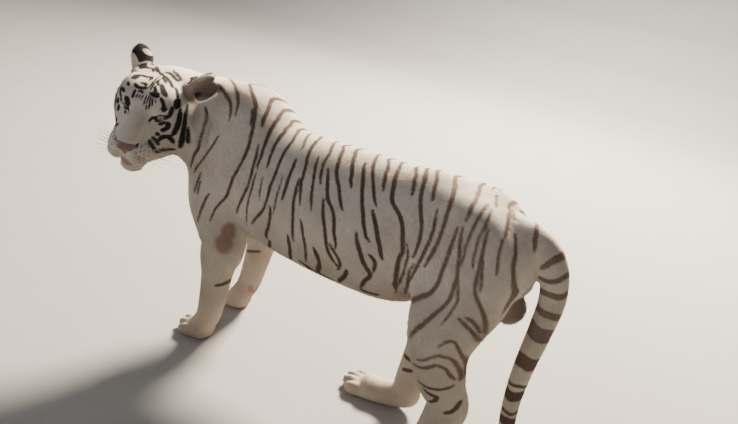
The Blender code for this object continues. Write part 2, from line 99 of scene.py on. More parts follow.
class Length:
    """A tapering length of body. Each station is (x, y, z, breadth, up, down): the middle, half the width,
    and the depths above and below. `side` points across it; up is square to its run and to the side."""

    STEPS = 6  # between two stations

    def __init__(self, stations, side=(0, 1, 0), blend=0.05, round_ends=(1.0, 1.0)):
        rows = np.array(stations, float)
        ends = np.vstack([2 * rows[0] - rows[1], rows, 2 * rows[-1] - rows[-2]])
        t = np.linspace(0, 1, self.STEPS, endpoint=False)[:, None]
        runs = []
        for a, b, c, d in zip(ends, ends[1:], ends[2:], ends[3:]):  # a smooth curve from b to c
            bend = (2 * a - 5 * b + 4 * c - d) * t**2 + (3 * b - a - 3 * c + d) * t**3
            runs.append(0.5 * (2 * b + (c - a) * t + bend))
        fine = np.vstack([*runs, rows[-1]])
        self.line, self.sizes = fine[:, :3], np.maximum(fine[:, 3:], 0.003)
        run = np.gradient(self.line, axis=0)
        self.run = run / norms(run)[:, None]
        across = np.array(side, float) - self.run * (self.run @ np.array(side, float))[:, None]
        self.across = across / norms(across)[:, None]
        self.above = np.cross(self.run, self.across)
        self.blend = blend
        self.round_ends = round_ends
        self.low = self.line.min(0) - self.sizes.max()
        self.high = self.line.max(0) + self.sizes.max()

    def place(self, p):
        """Where each point is along the line (0 to 1), and how far across, above and past its end it is."""
        last = len(self.line) - 1
        nearest = np.argmin((self.line**2).sum(1) - 2 * p @ self.line.T, axis=1)
        ahead = np.einsum("ij,ij->i", p - self.line[nearest], self.run[nearest]) > 0
        index = np.clip(np.where(ahead, nearest, nearest - 1), 0, last - 1)
        step = self.line[index + 1] - self.line[index]
        share = np.einsum("ij,ij->i", p - self.line[index], step) / np.einsum("ij,ij->i", step, step)
        share = np.clip(share, 0.0, 1.0)[:, None]

        def between(values):
            return values[index] * (1 - share) + values[index + 1] * share

        off = p - between(self.line)
        axes = (self.across, self.above, self.run)
        across, above, past = (np.einsum("ij,ij->i", off, between(v)) for v in axes)
        return (index + share[:, 0]) / last, across, above, past, between(self.sizes)

    def distance(self, p):
        along, across, above, past, size = self.place(p)
        breadth = size[:, 0]
        depth = np.where(above > 0, size[:, 1], size[:, 2])
        end = np.where(along < 0.5, self.round_ends[0], self.round_ends[1]) * breadth
        q = np.stack([across / breadth, above / depth, past / end], 1)
        share = norms(q)
        return share * (share - 1.0) / np.maximum(norms(q / np.stack([breadth, depth, end], 1)), 1e-9)

    def ring(self, i, scale=1.0, past=0.0, corners=20):
        points = []
        for k in range(corners):
            angle = 2 * math.pi * k / corners
            depth = self.sizes[i, 1] if math.sin(angle) > 0 else self.sizes[i, 2]
            off = self.across[i] * self.sizes[i, 0] * math.cos(angle)
            off = off + self.above[i] * depth * math.sin(angle)
            points.append(self.line[i] + off * scale + self.run[i] * past)
        return points

    def block(self, bm):
        """The same length as a closed skin of rings, which the form is carved from."""
        last = len(self.line) - 1
        dome = [(math.cos(a), math.sin(a)) for a in np.radians([75, 50, 25])]
        rings = [self.ring(0, s, -c * self.sizes[0, 0] * self.round_ends[0]) for s, c in dome]
        rings += [self.ring(i) for i in range(last + 1)]
        rings += [self.ring(last, s, c * self.sizes[last, 0] * self.round_ends[1]) for s, c in dome[::-1]]
        tube(bm, rings)


def blended(a, b, width):
    """The nearer of two distances, with a fillet of this width where they cross."""
    h = np.maximum(width - np.abs(a - b), 0.0) / width
    return np.minimum(a, b) - h * h * width / 4


def field(forms, hollows, p):
    """How far outside the blended form each point is."""
    d = np.full(len(p), REACH)
    for sign, group in ((1, forms), (-1, hollows)):
        for form in group:
            near = np.all((p > form.low - REACH) & (p < form.high + REACH), axis=1)
            if near.any():
                d[near] = sign * blended(sign * d[near], form.distance(p[near]), form.blend)
    return np.maximum(d, -p[:, 2])  # the floor cuts the soles flat


# ---------------------------------------------------------------- trunk
# Shoulders, ribs, belly and loins in one length, and the blades and hip points that show under the coat.
# The sides are told by the sign of Y.
LEFT, RIGHT = -1.0, 1.0


def trunk():
    """From the breast to the rump: the back's line, the ribs, the hanging belly and the tucked flank."""
    return Length(
        [  # x, y, z, half width, depth above, depth below
            (-0.555, 0.0, 0.660, 0.115, 0.150, 0.150),
            (-0.480, 0.0, 0.670, 0.150, 0.215, 0.200),
            (-0.390, 0.0, 0.670, 0.172, 0.222, 0.220),
            (-0.280, 0.0, 0.670, 0.186, 0.208, 0.222),
            (-0.120, 0.0, 0.665, 0.198, 0.216, 0.222),
            (0.040, 0.0, 0.665, 0.197, 0.224, 0.220),
            (0.160, 0.0, 0.675, 0.182, 0.220, 0.216),
            (0.270, 0.0, 0.700, 0.160, 0.212, 0.172),
            (0.380, 0.0, 0.715, 0.150, 0.184, 0.140),
            (0.470, 0.0, 0.725, 0.130, 0.148, 0.130),
            (0.530, 0.0, 0.735, 0.100, 0.112, 0.100),
        ],
        blend=0.04,
        round_ends=(0.8, 0.5),
    )


def back_muscles():
    """The shoulder blades, which stand above the spine, the upper arms, and the points of the hips."""
    forms = []
    for side in (LEFT, RIGHT):
        blade = (-0.22, side * -0.22, 1)
        forms.append(Lump((-0.435, side * 0.080, 0.790), 0.170, 0.060, 0.085, blade, blend=0.08))
        forms.append(Lump((-0.490, side * 0.120, 0.640), 0.140, 0.066, 0.105, (0.30, 0, 1), blend=0.06))
        forms.append(Lump((0.345, side * 0.072, 0.835), 0.085, 0.050, 0.045, (1, 0, 0), blend=0.06))
    return forms


# ---------------------------------------------------------------- neck and head
# A thick neck, bent round to the left, and the skull's masses of muscle and bone under thin skin. What is on
# the head is placed by how far it is forward, out to the left, and up from the middle of the skull.
HEAD_AT = Vector((-0.697, -0.203, 0.858))  # the middle of the skull
HEAD_YAW, HEAD_DIP, HEAD_TILT = 109.0, 12.0, 8.0  # degrees to the left, down, and of the left cheek down
HEAD_SIZE = 1.02
EYE_PLACE = (0.083, 0.0555, 0.036)


def head_frame():
    """The directions forward, left and up of the turned head, as the rows of a matrix."""
    yaw, dip, tilt = np.radians([HEAD_YAW, HEAD_DIP, HEAD_TILT])
    forward = np.array([-math.cos(yaw) * math.cos(dip), -math.sin(yaw) * math.cos(dip), -math.sin(dip)])
    level = unit(np.cross([0, 0, 1], forward))
    left = level * math.cos(tilt) - np.cross(forward, level) * math.sin(tilt)
    return np.array([forward, left, np.cross(forward, left)])


HEAD = head_frame()


def in_head(forward, out, up):
    return np.array(HEAD_AT) + HEAD_SIZE * (np.array([forward, out, up]) @ HEAD)


def head_way(forward, out, up):
    return np.array([forward, out, up], float) @ HEAD


def head_lump(place, sizes, along=(1, 0, 0), side=(0, 1, 0), blend=0.03):
    """A lump of the head: its place and its length, breadth and depth, all in the head's own directions."""
    length, breadth, depth = (HEAD_SIZE * s for s in sizes)
    return Lump(in_head(*place), length, breadth, depth, head_way(*along), head_way(*side), blend)


def head_length(stations, side=(0, 1, 0), blend=0.03, round_ends=(1.0, 1.0)):
    rows = [(*in_head(*row[:3]), *(HEAD_SIZE * s for s in row[3:])) for row in stations]
    return Length(rows, head_way(*side), blend, round_ends)


def neck():
    """A thick neck that leaves the shoulders forward and bends round to the left into the skull."""
    base = in_head(-0.085, 0.0, -0.015)
    return [
        Lump((-0.470, 0.000, 0.745), 0.170, 0.142, 0.195, (-1, -0.05, 0.25), blend=0.08),
        Lump((-0.565, -0.025, 0.790), 0.150, 0.132, 0.165, (-0.9, -0.35, 0.30), blend=0.08),
        Lump((-0.640, -0.070, 0.825), 0.130, 0.118, 0.140, (-0.7, -0.6, 0.25), blend=0.08),
        Lump(base, 0.110, 0.112, 0.115, HEAD[0], blend=0.07),
    ]


def skull():
    """The head without its ears: crown, broad nose, brows, cheeks, whisker pads, jaw and chin."""
    forms = [
        head_lump((-0.040, 0, 0.014), (0.112, 0.104, 0.092), blend=0.05),
        head_lump((0.025, 0, 0.040), (0.072, 0.072, 0.060), (1, 0, -0.45), blend=0.04),
        head_length(
            [  # the flat bridge of the nose, from the brow down to the nose pad
                (0.030, 0, 0.020, 0.060, 0.060, 0.080),
                (0.080, 0, 0.010, 0.047, 0.048, 0.070),
                (0.120, 0, -0.004, 0.041, 0.040, 0.055),
                (0.155, 0, -0.022, 0.037, 0.033, 0.045),
                (0.180, 0, -0.035, 0.032, 0.027, 0.035),
            ],
            blend=0.03,
            round_ends=(1.0, 0.55),
        ),
        head_lump((0.138, 0, -0.122), (0.043, 0.039, 0.037), (1, 0, 0.20), blend=0.015),
        head_lump((0.120, 0, -0.092), (0.056, 0.050, 0.030), (1, 0, -0.10), blend=0.010),
        head_lump((0.194, 0, -0.034), (0.012, 0.027, 0.017), (1, 0, -0.5), blend=0.010),
    ]
    for out in (1, -1):
        forms += [
            head_lump((0.062, out * 0.048, 0.060), (0.038, 0.026, 0.016), (1, out * 0.5, -0.50), blend=0.03),
            head_lump((0.010, out * 0.078, 0.055), (0.062, 0.034, 0.042), (1, out * -0.3, 0), blend=0.04),
            head_lump(
                (0.022, out * 0.080, 0.000), (0.080, 0.044, 0.060), (1, out * -0.30, -0.2), blend=0.035
            ),
            head_lump(
                (-0.020, out * 0.098, -0.055), (0.070, 0.046, 0.080), (1, out * -0.1, 0.25), blend=0.05
            ),
            head_lump(
                (0.148, out * 0.036, -0.066), (0.056, 0.038, 0.041), (1, out * -0.22, -0.10), blend=0.012
            ),
            head_lump((0.085, out * 0.050, -0.050), (0.066, 0.038, 0.054), (1, out * -0.4, 0), blend=0.03),
            head_lump(
                (0.050, out * 0.052, -0.090), (0.095, 0.036, 0.040), (1, out * -0.40, -0.10), blend=0.03
            ),
        ]
    return forms


def eye_place(out):
    return in_head(EYE_PLACE[0], out * EYE_PLACE[1], EYE_PLACE[2])


def face_hollows():
    """What is carved out: the hollow in front of each eye, and the nostrils."""
    hollows = []
    for out in (1, -1):
        hollows += [
            head_lump(
                (0.134, out * 0.080, 0.030), (0.040, 0.022, 0.024), (1, out * -0.45, -0.35), blend=0.03
            ),
            head_lump((0.207, out * 0.017, -0.042), (0.009, 0.006, 0.006), blend=0.006),
        ]
    return hollows


EARS = (  # middle, the way it rises, the way its cup faces: the left stands out, the right is turned back
    ((-0.048, 0.113, 0.112), (-0.10, 0.60, 0.79), (0.25, 0.77, -0.58)),
    ((-0.070, -0.100, 0.104), (-0.08, -0.30, 0.95), (-0.25, -0.93, -0.30)),
)


def ears():
    """Two round ears, each a thick leaf with a cup pressed into it."""
    forms, cups = [], []
    for middle, rise, face in EARS:
        breadth = np.cross(rise, face)
        mouth = np.array(middle) + 0.026 * unit(face) + 0.004 * unit(rise)
        forms.append(head_lump(middle, (0.050, 0.042, 0.016), rise, breadth, blend=0.025))
        cups.append(head_lump(mouth, (0.042, 0.034, 0.026), rise, breadth, blend=0.012))
    return forms, cups


# ---------------------------------------------------------------- legs and tail
# Four standing legs on soft flat paws, the haunches over the hind pair, and the tail. Bone, sinew and muscle
# in one length to a leg, with the toes' pads and knuckles in front.
PAWS = {  # the middle of the sole, the way that the paw points, and half the breadth over its toes
    "foreleg_left": ((-0.530, -0.120, 0), (-1.0, -0.06), 0.055),
    "foreleg_right": ((-0.570, 0.130, 0), (-1.0, 0.06), 0.055),
    "hind_leg_left": ((0.397, -0.130, 0), (-1.0, 0.0), 0.050),
    "hind_leg_right": ((0.126, 0.042, 0), (-1.0, 0.0), 0.050),
}


def toes(paw, heading, breadth):
    """Four toes in a shallow arc in front of a paw, the middle two further forward."""
    heading = unit(np.array([*heading, 0.0]))
    across = np.array([-heading[1], heading[0], 0.0])
    forms = []
    for spread, reach in ((-0.76, 0.030), (-0.27, 0.052), (0.27, 0.052), (0.76, 0.030)):
        centre = np.array([paw[0], paw[1], 0.027]) + across * spread * breadth + heading * reach
        along = heading + across * spread * 0.25
        forms.append(Lump(centre, 0.036, 0.0175, 0.029, along, across, blend=0.012))
    return forms


def foreleg(side, name, elbow):
    """Shoulder, elbow, wrist and paw. It bears weight, so forearm and foot stand nearly upright."""
    paw, heading, breadth = PAWS[name]
    paw, elbow = np.array(paw), np.array(elbow)
    wrist = paw + (0.050, side * 0.006, 0.135)
    shin = elbow * 0.5 + wrist * 0.5
    rows = [  # x, y, z, half width, depth behind, depth in front
        (-0.500, side * 0.112, 0.690, 0.060, 0.095, 0.085),
        (*(elbow + (-0.050, side * -0.010, 0.110)), 0.072, 0.100, 0.095),
        (*elbow, 0.066, 0.094, 0.088),
        (*(elbow * 0.75 + wrist * 0.25 + (-0.006, 0, 0)), 0.060, 0.084, 0.068),
        (*shin, 0.053, 0.062, 0.055),
        (*wrist, 0.049, 0.047, 0.047),
        (*(paw + (0.024, 0, 0.066)), 0.052, 0.040, 0.050),
        (*(paw + (0.010, 0, 0.038)), 0.056, 0.044, 0.052),
    ]
    forms = [
        Length(rows, blend=0.05, round_ends=(1.0, 0.75)),
        Lump(paw + (-0.006, 0, 0.030), 0.057, 0.055, 0.030, (*heading, 0), blend=0.02),
    ]
    return forms + toes(paw, heading, breadth)


def hind_leg(side, name, hip, knee, hock, ankle=1.0):
    """Thigh, knee, hock and foot. The ankle's thickness is a share of the standing leg's."""
    paw, heading, breadth = PAWS[name]
    hip, knee, hock, paw = (np.array(v, float) for v in (hip, knee, hock, paw))
    thigh = hip * 0.5 + knee * 0.5
    shank = knee * 0.5 + hock * 0.5
    foot = hock * 0.45 + paw * 0.55
    rows = [  # x, y, z, half width, depth behind, depth in front
        (*hip, 0.078, 0.125, 0.120),
        (*(thigh + (0.030, 0, 0)), 0.082, 0.120, 0.122),
        (*(knee + (0.068, side * -0.005, 0)), 0.070, 0.098, 0.096),
        (*(shank + (0.033, 0, 0)), 0.057, 0.080, 0.078),
        (*(hock + (0.002, 0, 0.050)), 0.048 * ankle, 0.066 * ankle, 0.066 * ankle),
        (*hock, 0.045 * ankle, 0.060 * ankle, 0.064 * ankle),
        (*(foot + (0.005, 0, 0.010)), 0.045, 0.044, 0.046),
        (*(paw + (0.015, 0, 0.040)), 0.049, 0.038, 0.044),
    ]
    forms = [
        Length(rows, blend=0.05, round_ends=(0.8, 0.7)),
        Lump(paw + (0.0, 0, 0.028), 0.056, 0.051, 0.028, (*heading, 0), blend=0.02),
    ]
    return forms + toes(paw, heading, breadth)


def haunch():
    """The breadth of the rump over both thighs, the seat behind them, and the male's scrotum between."""
    forms = [Lump((0.540, 0.0, 0.590), 0.052, 0.040, 0.040, (0.25, 0, 1), blend=0.03)]
    for side in (LEFT, RIGHT):
        forms.append(Lump((0.400, side * 0.090, 0.725), 0.140, 0.080, 0.125, (-0.3, 0, 1), blend=0.06))
        forms.append(Lump((0.482, side * 0.070, 0.655), 0.125, 0.055, 0.055, (-0.05, 0, 1), blend=0.05))
    return forms


def tail():
    """Thick at the root, hanging straight, with a lifted hook at its tip."""
    return Length(
        [  # x, y, z, half width, depth above, depth below
            (0.490, 0.000, 0.812, 0.050, 0.052, 0.055),
            (0.558, 0.000, 0.805, 0.044, 0.047, 0.047),
            (0.612, 0.000, 0.758, 0.041, 0.042, 0.042),
            (0.638, 0.000, 0.670, 0.038, 0.038, 0.039),
            (0.634, 0.000, 0.555, 0.035, 0.035, 0.035),
            (0.624, 0.000, 0.420, 0.031, 0.031, 0.031),
            (0.624, 0.000, 0.290, 0.027, 0.027, 0.027),
            (0.640, 0.000, 0.175, 0.025, 0.025, 0.025),
            (0.684, 0.000, 0.092, 0.023, 0.023, 0.023),
            (0.757, 0.000, 0.066, 0.020, 0.020, 0.020),
            (0.820, 0.000, 0.092, 0.015, 0.015, 0.015),
        ],
        blend=0.03,
        round_ends=(1.0, 1.2),
    )


def whole_form():
    ear_forms, ear_cups = ears()
    forms = [trunk(), *back_muscles(), *haunch(), *neck(), *skull(), *ear_forms, tail()]
    forms += foreleg(LEFT, "foreleg_left", elbow=(-0.430, -0.145, 0.465))
    forms += foreleg(RIGHT, "foreleg_right", elbow=(-0.462, 0.145, 0.465))
    forms += hind_leg(
        LEFT, "hind_leg_left", (0.420, -0.100, 0.690), (0.335, -0.150, 0.470), (0.470, -0.130, 0.240)
    )
    forms += hind_leg(
        RIGHT, "hind_leg_right", (0.400, 0.100, 0.680), (0.258, 0.130, 0.430), (0.272, 0.062, 0.068), 0.82
    )
    return forms, face_hollows() + ear_cups



# ---------------------------------------------------------------- skin
# One skin for the whole animal, in place of the solids of its flesh. It lies inside them by the depth of the
# coat, and has the folds that they leave out: lids, nostrils, the cleft under the nose, and the lips.
SHIFT = np.array(sum(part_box("eye_left"), Vector())) / 2 - eye_place(1)  # from here to the solids' place
FLOOR = -SHIFT[2]
HEAD_MIDDLE = (0.02, 0, -0.01)  # of the head with its muzzle, from the middle of the skull
NUDGE = 0.0005  # for reading the form's slope
SQUARES = 0.0070  # the size of the skin's first squares


def smooth(low, high, value):
    share = np.clip((value - low) / (high - low), 0.0, 1.0)
    return share * share * (3 - 2 * share)


def head_place(p):
    """How far forward, left and up of the middle of the skull each point is."""
    return (p - np.array(HEAD_AT)) @ HEAD.T / HEAD_SIZE


def on_head(p):
    return 1 - smooth(0.150, 0.215, norms(head_place(p) - HEAD_MIDDLE))


def from_ears(q):
    """For each ear, how far each place of the head is from a little above the ear's middle."""
    return [norms(q - np.array(middle) - 0.008 * unit(rise)) for middle, rise, _ in EARS]


def near_ear(p):
    return 1 - smooth(0.052, 0.072, np.min(from_ears(head_place(p)), axis=0))


def coat_depth(p):
    """How far the skin lies under the coat's tips: most on the body, least on the face, ears and feet."""
    q = head_place(p)
    head = on_head(p)
    face = head * smooth(-0.01, 0.07, q[:, 0])
    low = 1 - smooth(0.08, 0.42, p[:, 2])
    depth = 0.0055 + head * 0.002 * smooth(0.06, 0.10, np.abs(q[:, 1]))
    tail_part = smooth(0.56, 0.62, p[:, 0])
    for part, thin in ((face, 0.0018), (low, 0.0028), (tail_part, 0.0040), (near_ear(p), 0.0009)):
        depth = depth + (thin - depth) * part
    return depth


def eye_ways(out):
    """The way that an eye looks, and the way that its lids run."""
    return unit((0.88, out * 0.44, 0.05)), (-0.42, out * 0.90, 0.26)


LIPS = [  # the slit of the mouth, from under the nose back to either corner
    head_length(
        [
            (0.190, out * 0.003, -0.090, 0.0050, 0.008, 0.008),
            (0.180, out * 0.022, -0.099, 0.0055, 0.008, 0.008),
            (0.156, out * 0.043, -0.101, 0.0045, 0.006, 0.006),
            (0.122, out * 0.063, -0.095, 0.0030, 0.004, 0.004),
            (0.088, out * 0.074, -0.088, 0.0022, 0.003, 0.003),
        ],
        side=(0, 0, 1),
        blend=0.006,
    )
    for out in (1, -1)
]


def face_folds():
    """Forms and hollows of the face alone: lids round an almond opening, nose, nostrils and lips."""
    forms, hollows = [], []
    for out, lip in zip((1, -1), LIPS):
        at = np.array(EYE_PLACE) * (1, out, 1)
        gaze, slant = eye_ways(out)
        forms.append(head_lump(at - gaze * 0.001, (0.0222, 0.0222, 0.0222), gaze, slant, blend=0.010))
        forms.append(head_lump((0.196, out * 0.020, -0.046), (0.013, 0.012, 0.012), blend=0.006))
        opening = at + gaze * 0.014 - unit(np.cross(gaze, slant)) * out * 0.0008
        hollows.append(head_lump(opening, (0.014, 0.0170, 0.0062), gaze, slant, blend=0.003))
        for place, sizes, lean in (
            ((0.206, out * 0.019, -0.045), (0.011, 0.0068, 0.0048), 0.35),
            ((0.193, out * 0.034, -0.038), (0.012, 0.0100, 0.0026), 0.6),
        ):
            hollows.append(head_lump(place, sizes, (1, 0, 0), (0, 1, out * lean), 0.003))
        hollows.append(lip)
    cleft = [(0.205, 0, -0.060, 0.0022, 0.004, 0.004), (0.198, 0, -0.088, 0.0022, 0.004, 0.004)]
    hollows.append(head_length(cleft, blend=0.004))
    return forms, hollows


def mesh_of(name, bm):
    """The shape that was being made, as a mesh."""
    mesh = bpy.data.meshes.new(name)
    bm.to_mesh(mesh)
    bm.free()
    return mesh


def placed(name, data):
    """A new thing in the scene, from a mesh, lamp or camera."""
    thing = bpy.data.objects.new(name, data)
    bpy.context.scene.collection.objects.link(thing)
    return thing


def block_out(forms, voxel):
    """All the forms as overlapping solids, made one closed skin of small squares."""
    bm = bmesh.new()
    for form in forms:
        form.block(bm)
    block = placed("block", mesh_of("block", bm))
    remesh = block.modifiers.new("one_skin", "REMESH")
    remesh.mode = "VOXEL"
    remesh.voxel_size = voxel
    skin = bpy.data.meshes.new_from_object(block.evaluated_get(bpy.context.evaluated_depsgraph_get()))
    bpy.data.objects.remove(block)
    return skin


def places(mesh):
    p = np.empty(len(mesh.vertices) * 3)
    mesh.vertices.foreach_get("co", p)
    return p.reshape(-1, 3)


def carve(mesh, forms, hollows, rounds, chosen=None):
    """Moves the skin onto the blended form, less the coat's depth, evening out its squares in between."""
    p = places(mesh)
    count = len(p)
    ends = np.empty(len(mesh.edges) * 2, int)
    mesh.edges.foreach_get("vertices", ends)
    a, b = ends[0::2], ends[1::2]
    neighbours = np.bincount(ends, minlength=count)[:, None]
    chosen = np.arange(count) if chosen is None else np.flatnonzero(chosen(p))
    depth = coat_depth(p[chosen])
    for step in range(rounds):
        sums = [np.bincount(a, p[b, k], count) + np.bincount(b, p[a, k], count) for k in range(3)]
        move = p[chosen] + 0.5 * (np.stack(sums, 1) / neighbours - p)[chosen]
        off = field(forms, hollows, move)
        rises = [field(forms, hollows, move + way * NUDGE) - off for way in np.eye(3)]
        slope = np.stack(rises, 1) / NUDGE
        steep = np.maximum((slope**2).sum(1), 0.25)
        sunk = np.where(move[:, 2] < 0.006, np.maximum(off, FLOOR - move[:, 2]), off + depth)  # bare soles
        p[chosen] = move - slope * (np.clip(sunk, -0.02, 0.02) / steep)[:, None]
    p[:, 2] = np.maximum(p[:, 2], FLOOR)
    mesh.vertices.foreach_set("co", p.ravel())
    mesh.update()


def finer(mesh, chosen):
    """Splits each square of the chosen region into four."""
    bm = bmesh.new()
    bm.from_mesh(mesh)
    bm.faces.ensure_lookup_table()
    middles = np.array([face.calc_center_median() for face in bm.faces])
    picked = [bm.faces[i] for i in np.flatnonzero(chosen(middles))]
    edges = list({edge for face in picked for edge in face.edges})
    bmesh.ops.subdivide_edges(bm, edges=edges, cuts=1, use_grid_fill=True)
    bmesh.ops.triangulate(bm, faces=[face for face in bm.faces if len(face.verts) > 4])
    bm.to_mesh(mesh)
    bm.free()


def whole_head(p):
    q = head_place(p)
    return (norms(q - HEAD_MIDDLE) < 0.205) & (q[:, 0] > -0.115)


def only_face(p):
    q = head_place(p)
    return (q[:, 0] > 0.035) & (norms(q) < 0.27)


forms, hollows = whole_form()
folds, creases = face_folds()
skin_mesh = block_out(forms, SQUARES)
carve(skin_mesh, forms, hollows, 6)
for part, rounds in ((whole_head, 3), (only_face, 4)):
    finer(skin_mesh, part)
    carve(skin_mesh, forms + folds, hollows + creases, rounds, part)
SKIN = places(skin_mesh)  # before it is shifted to the solids' place


# ---------------------------------------------------------------- markings
# Stripes grow in the hair itself, and in the skin under it: thin and brown on the body, black on the face,
# rings on the tail. Each is a line of places on the animal's surface, with half its width in millimetres.
AXIS_HEIGHT = 0.70  # of the line through the trunk that its marks are told round
ROUND = 0.2  # metres to each radian round that line
FACE_ROUND = 0.11  # the same, for the head
NO_STRIPE = -0.02  # the depth far from any stripe


def from_spine(p):
    """How far round the trunk from the spine each point is, in radians."""
    return np.arctan2(np.abs(p[:, 1]), p[:, 2] - AXIS_HEIGHT)


def head_chart(p):
    """Degrees out and up from the way the nose points, scaled to metres."""
    q = head_place(p)
    away = np.arctan2(np.hypot(q[:, 1], q[:, 2]), q[:, 0])
    turn = np.arctan2(q[:, 2], q[:, 1])
    return FACE_ROUND * np.stack([away * np.cos(turn), away * np.sin(turn)], 1)


def rounded(line):
    """The same line with its corners cut, twice over."""
    for step in range(2):
        middle = np.stack([line[:-1] * 0.75 + line[1:] * 0.25, line[:-1] * 0.25 + line[1:] * 0.75], 1)
        line = np.vstack([line[:1], middle.reshape(-1, line.shape[1])[1:-1], line[-1:]])
    return line


def inside(stripes, at, scale):
    """How deep inside the nearest stripe each place is, in metres, and negative outside."""
    depth = np.full(len(at), NO_STRIPE)
    for half, *points in stripes:
        line = rounded(np.array(points, float) * scale)
        width = half / 1000
        edge = width - NO_STRIPE
        near = np.flatnonzero(np.all((at > line.min(0) - edge) & (at < line.max(0) + edge), axis=1))
        if not len(near):
            continue
        q = at[near]
        best = depth[near]
        for i, (a, b) in enumerate(zip(line, line[1:])):
            step = b - a
            share = np.clip((q - a) @ step / (step @ step), 0, 1)
            along = (i + share) / (len(line) - 1)
            gap = norms(q - a - share[:, None] * step)
            body = 0.45 + 0.55 * np.sqrt(np.clip(7 * np.minimum(along, 1 - along), 0, 1))
            best = np.maximum(best, width * body - gap)
        depth[near] = best
    return depth


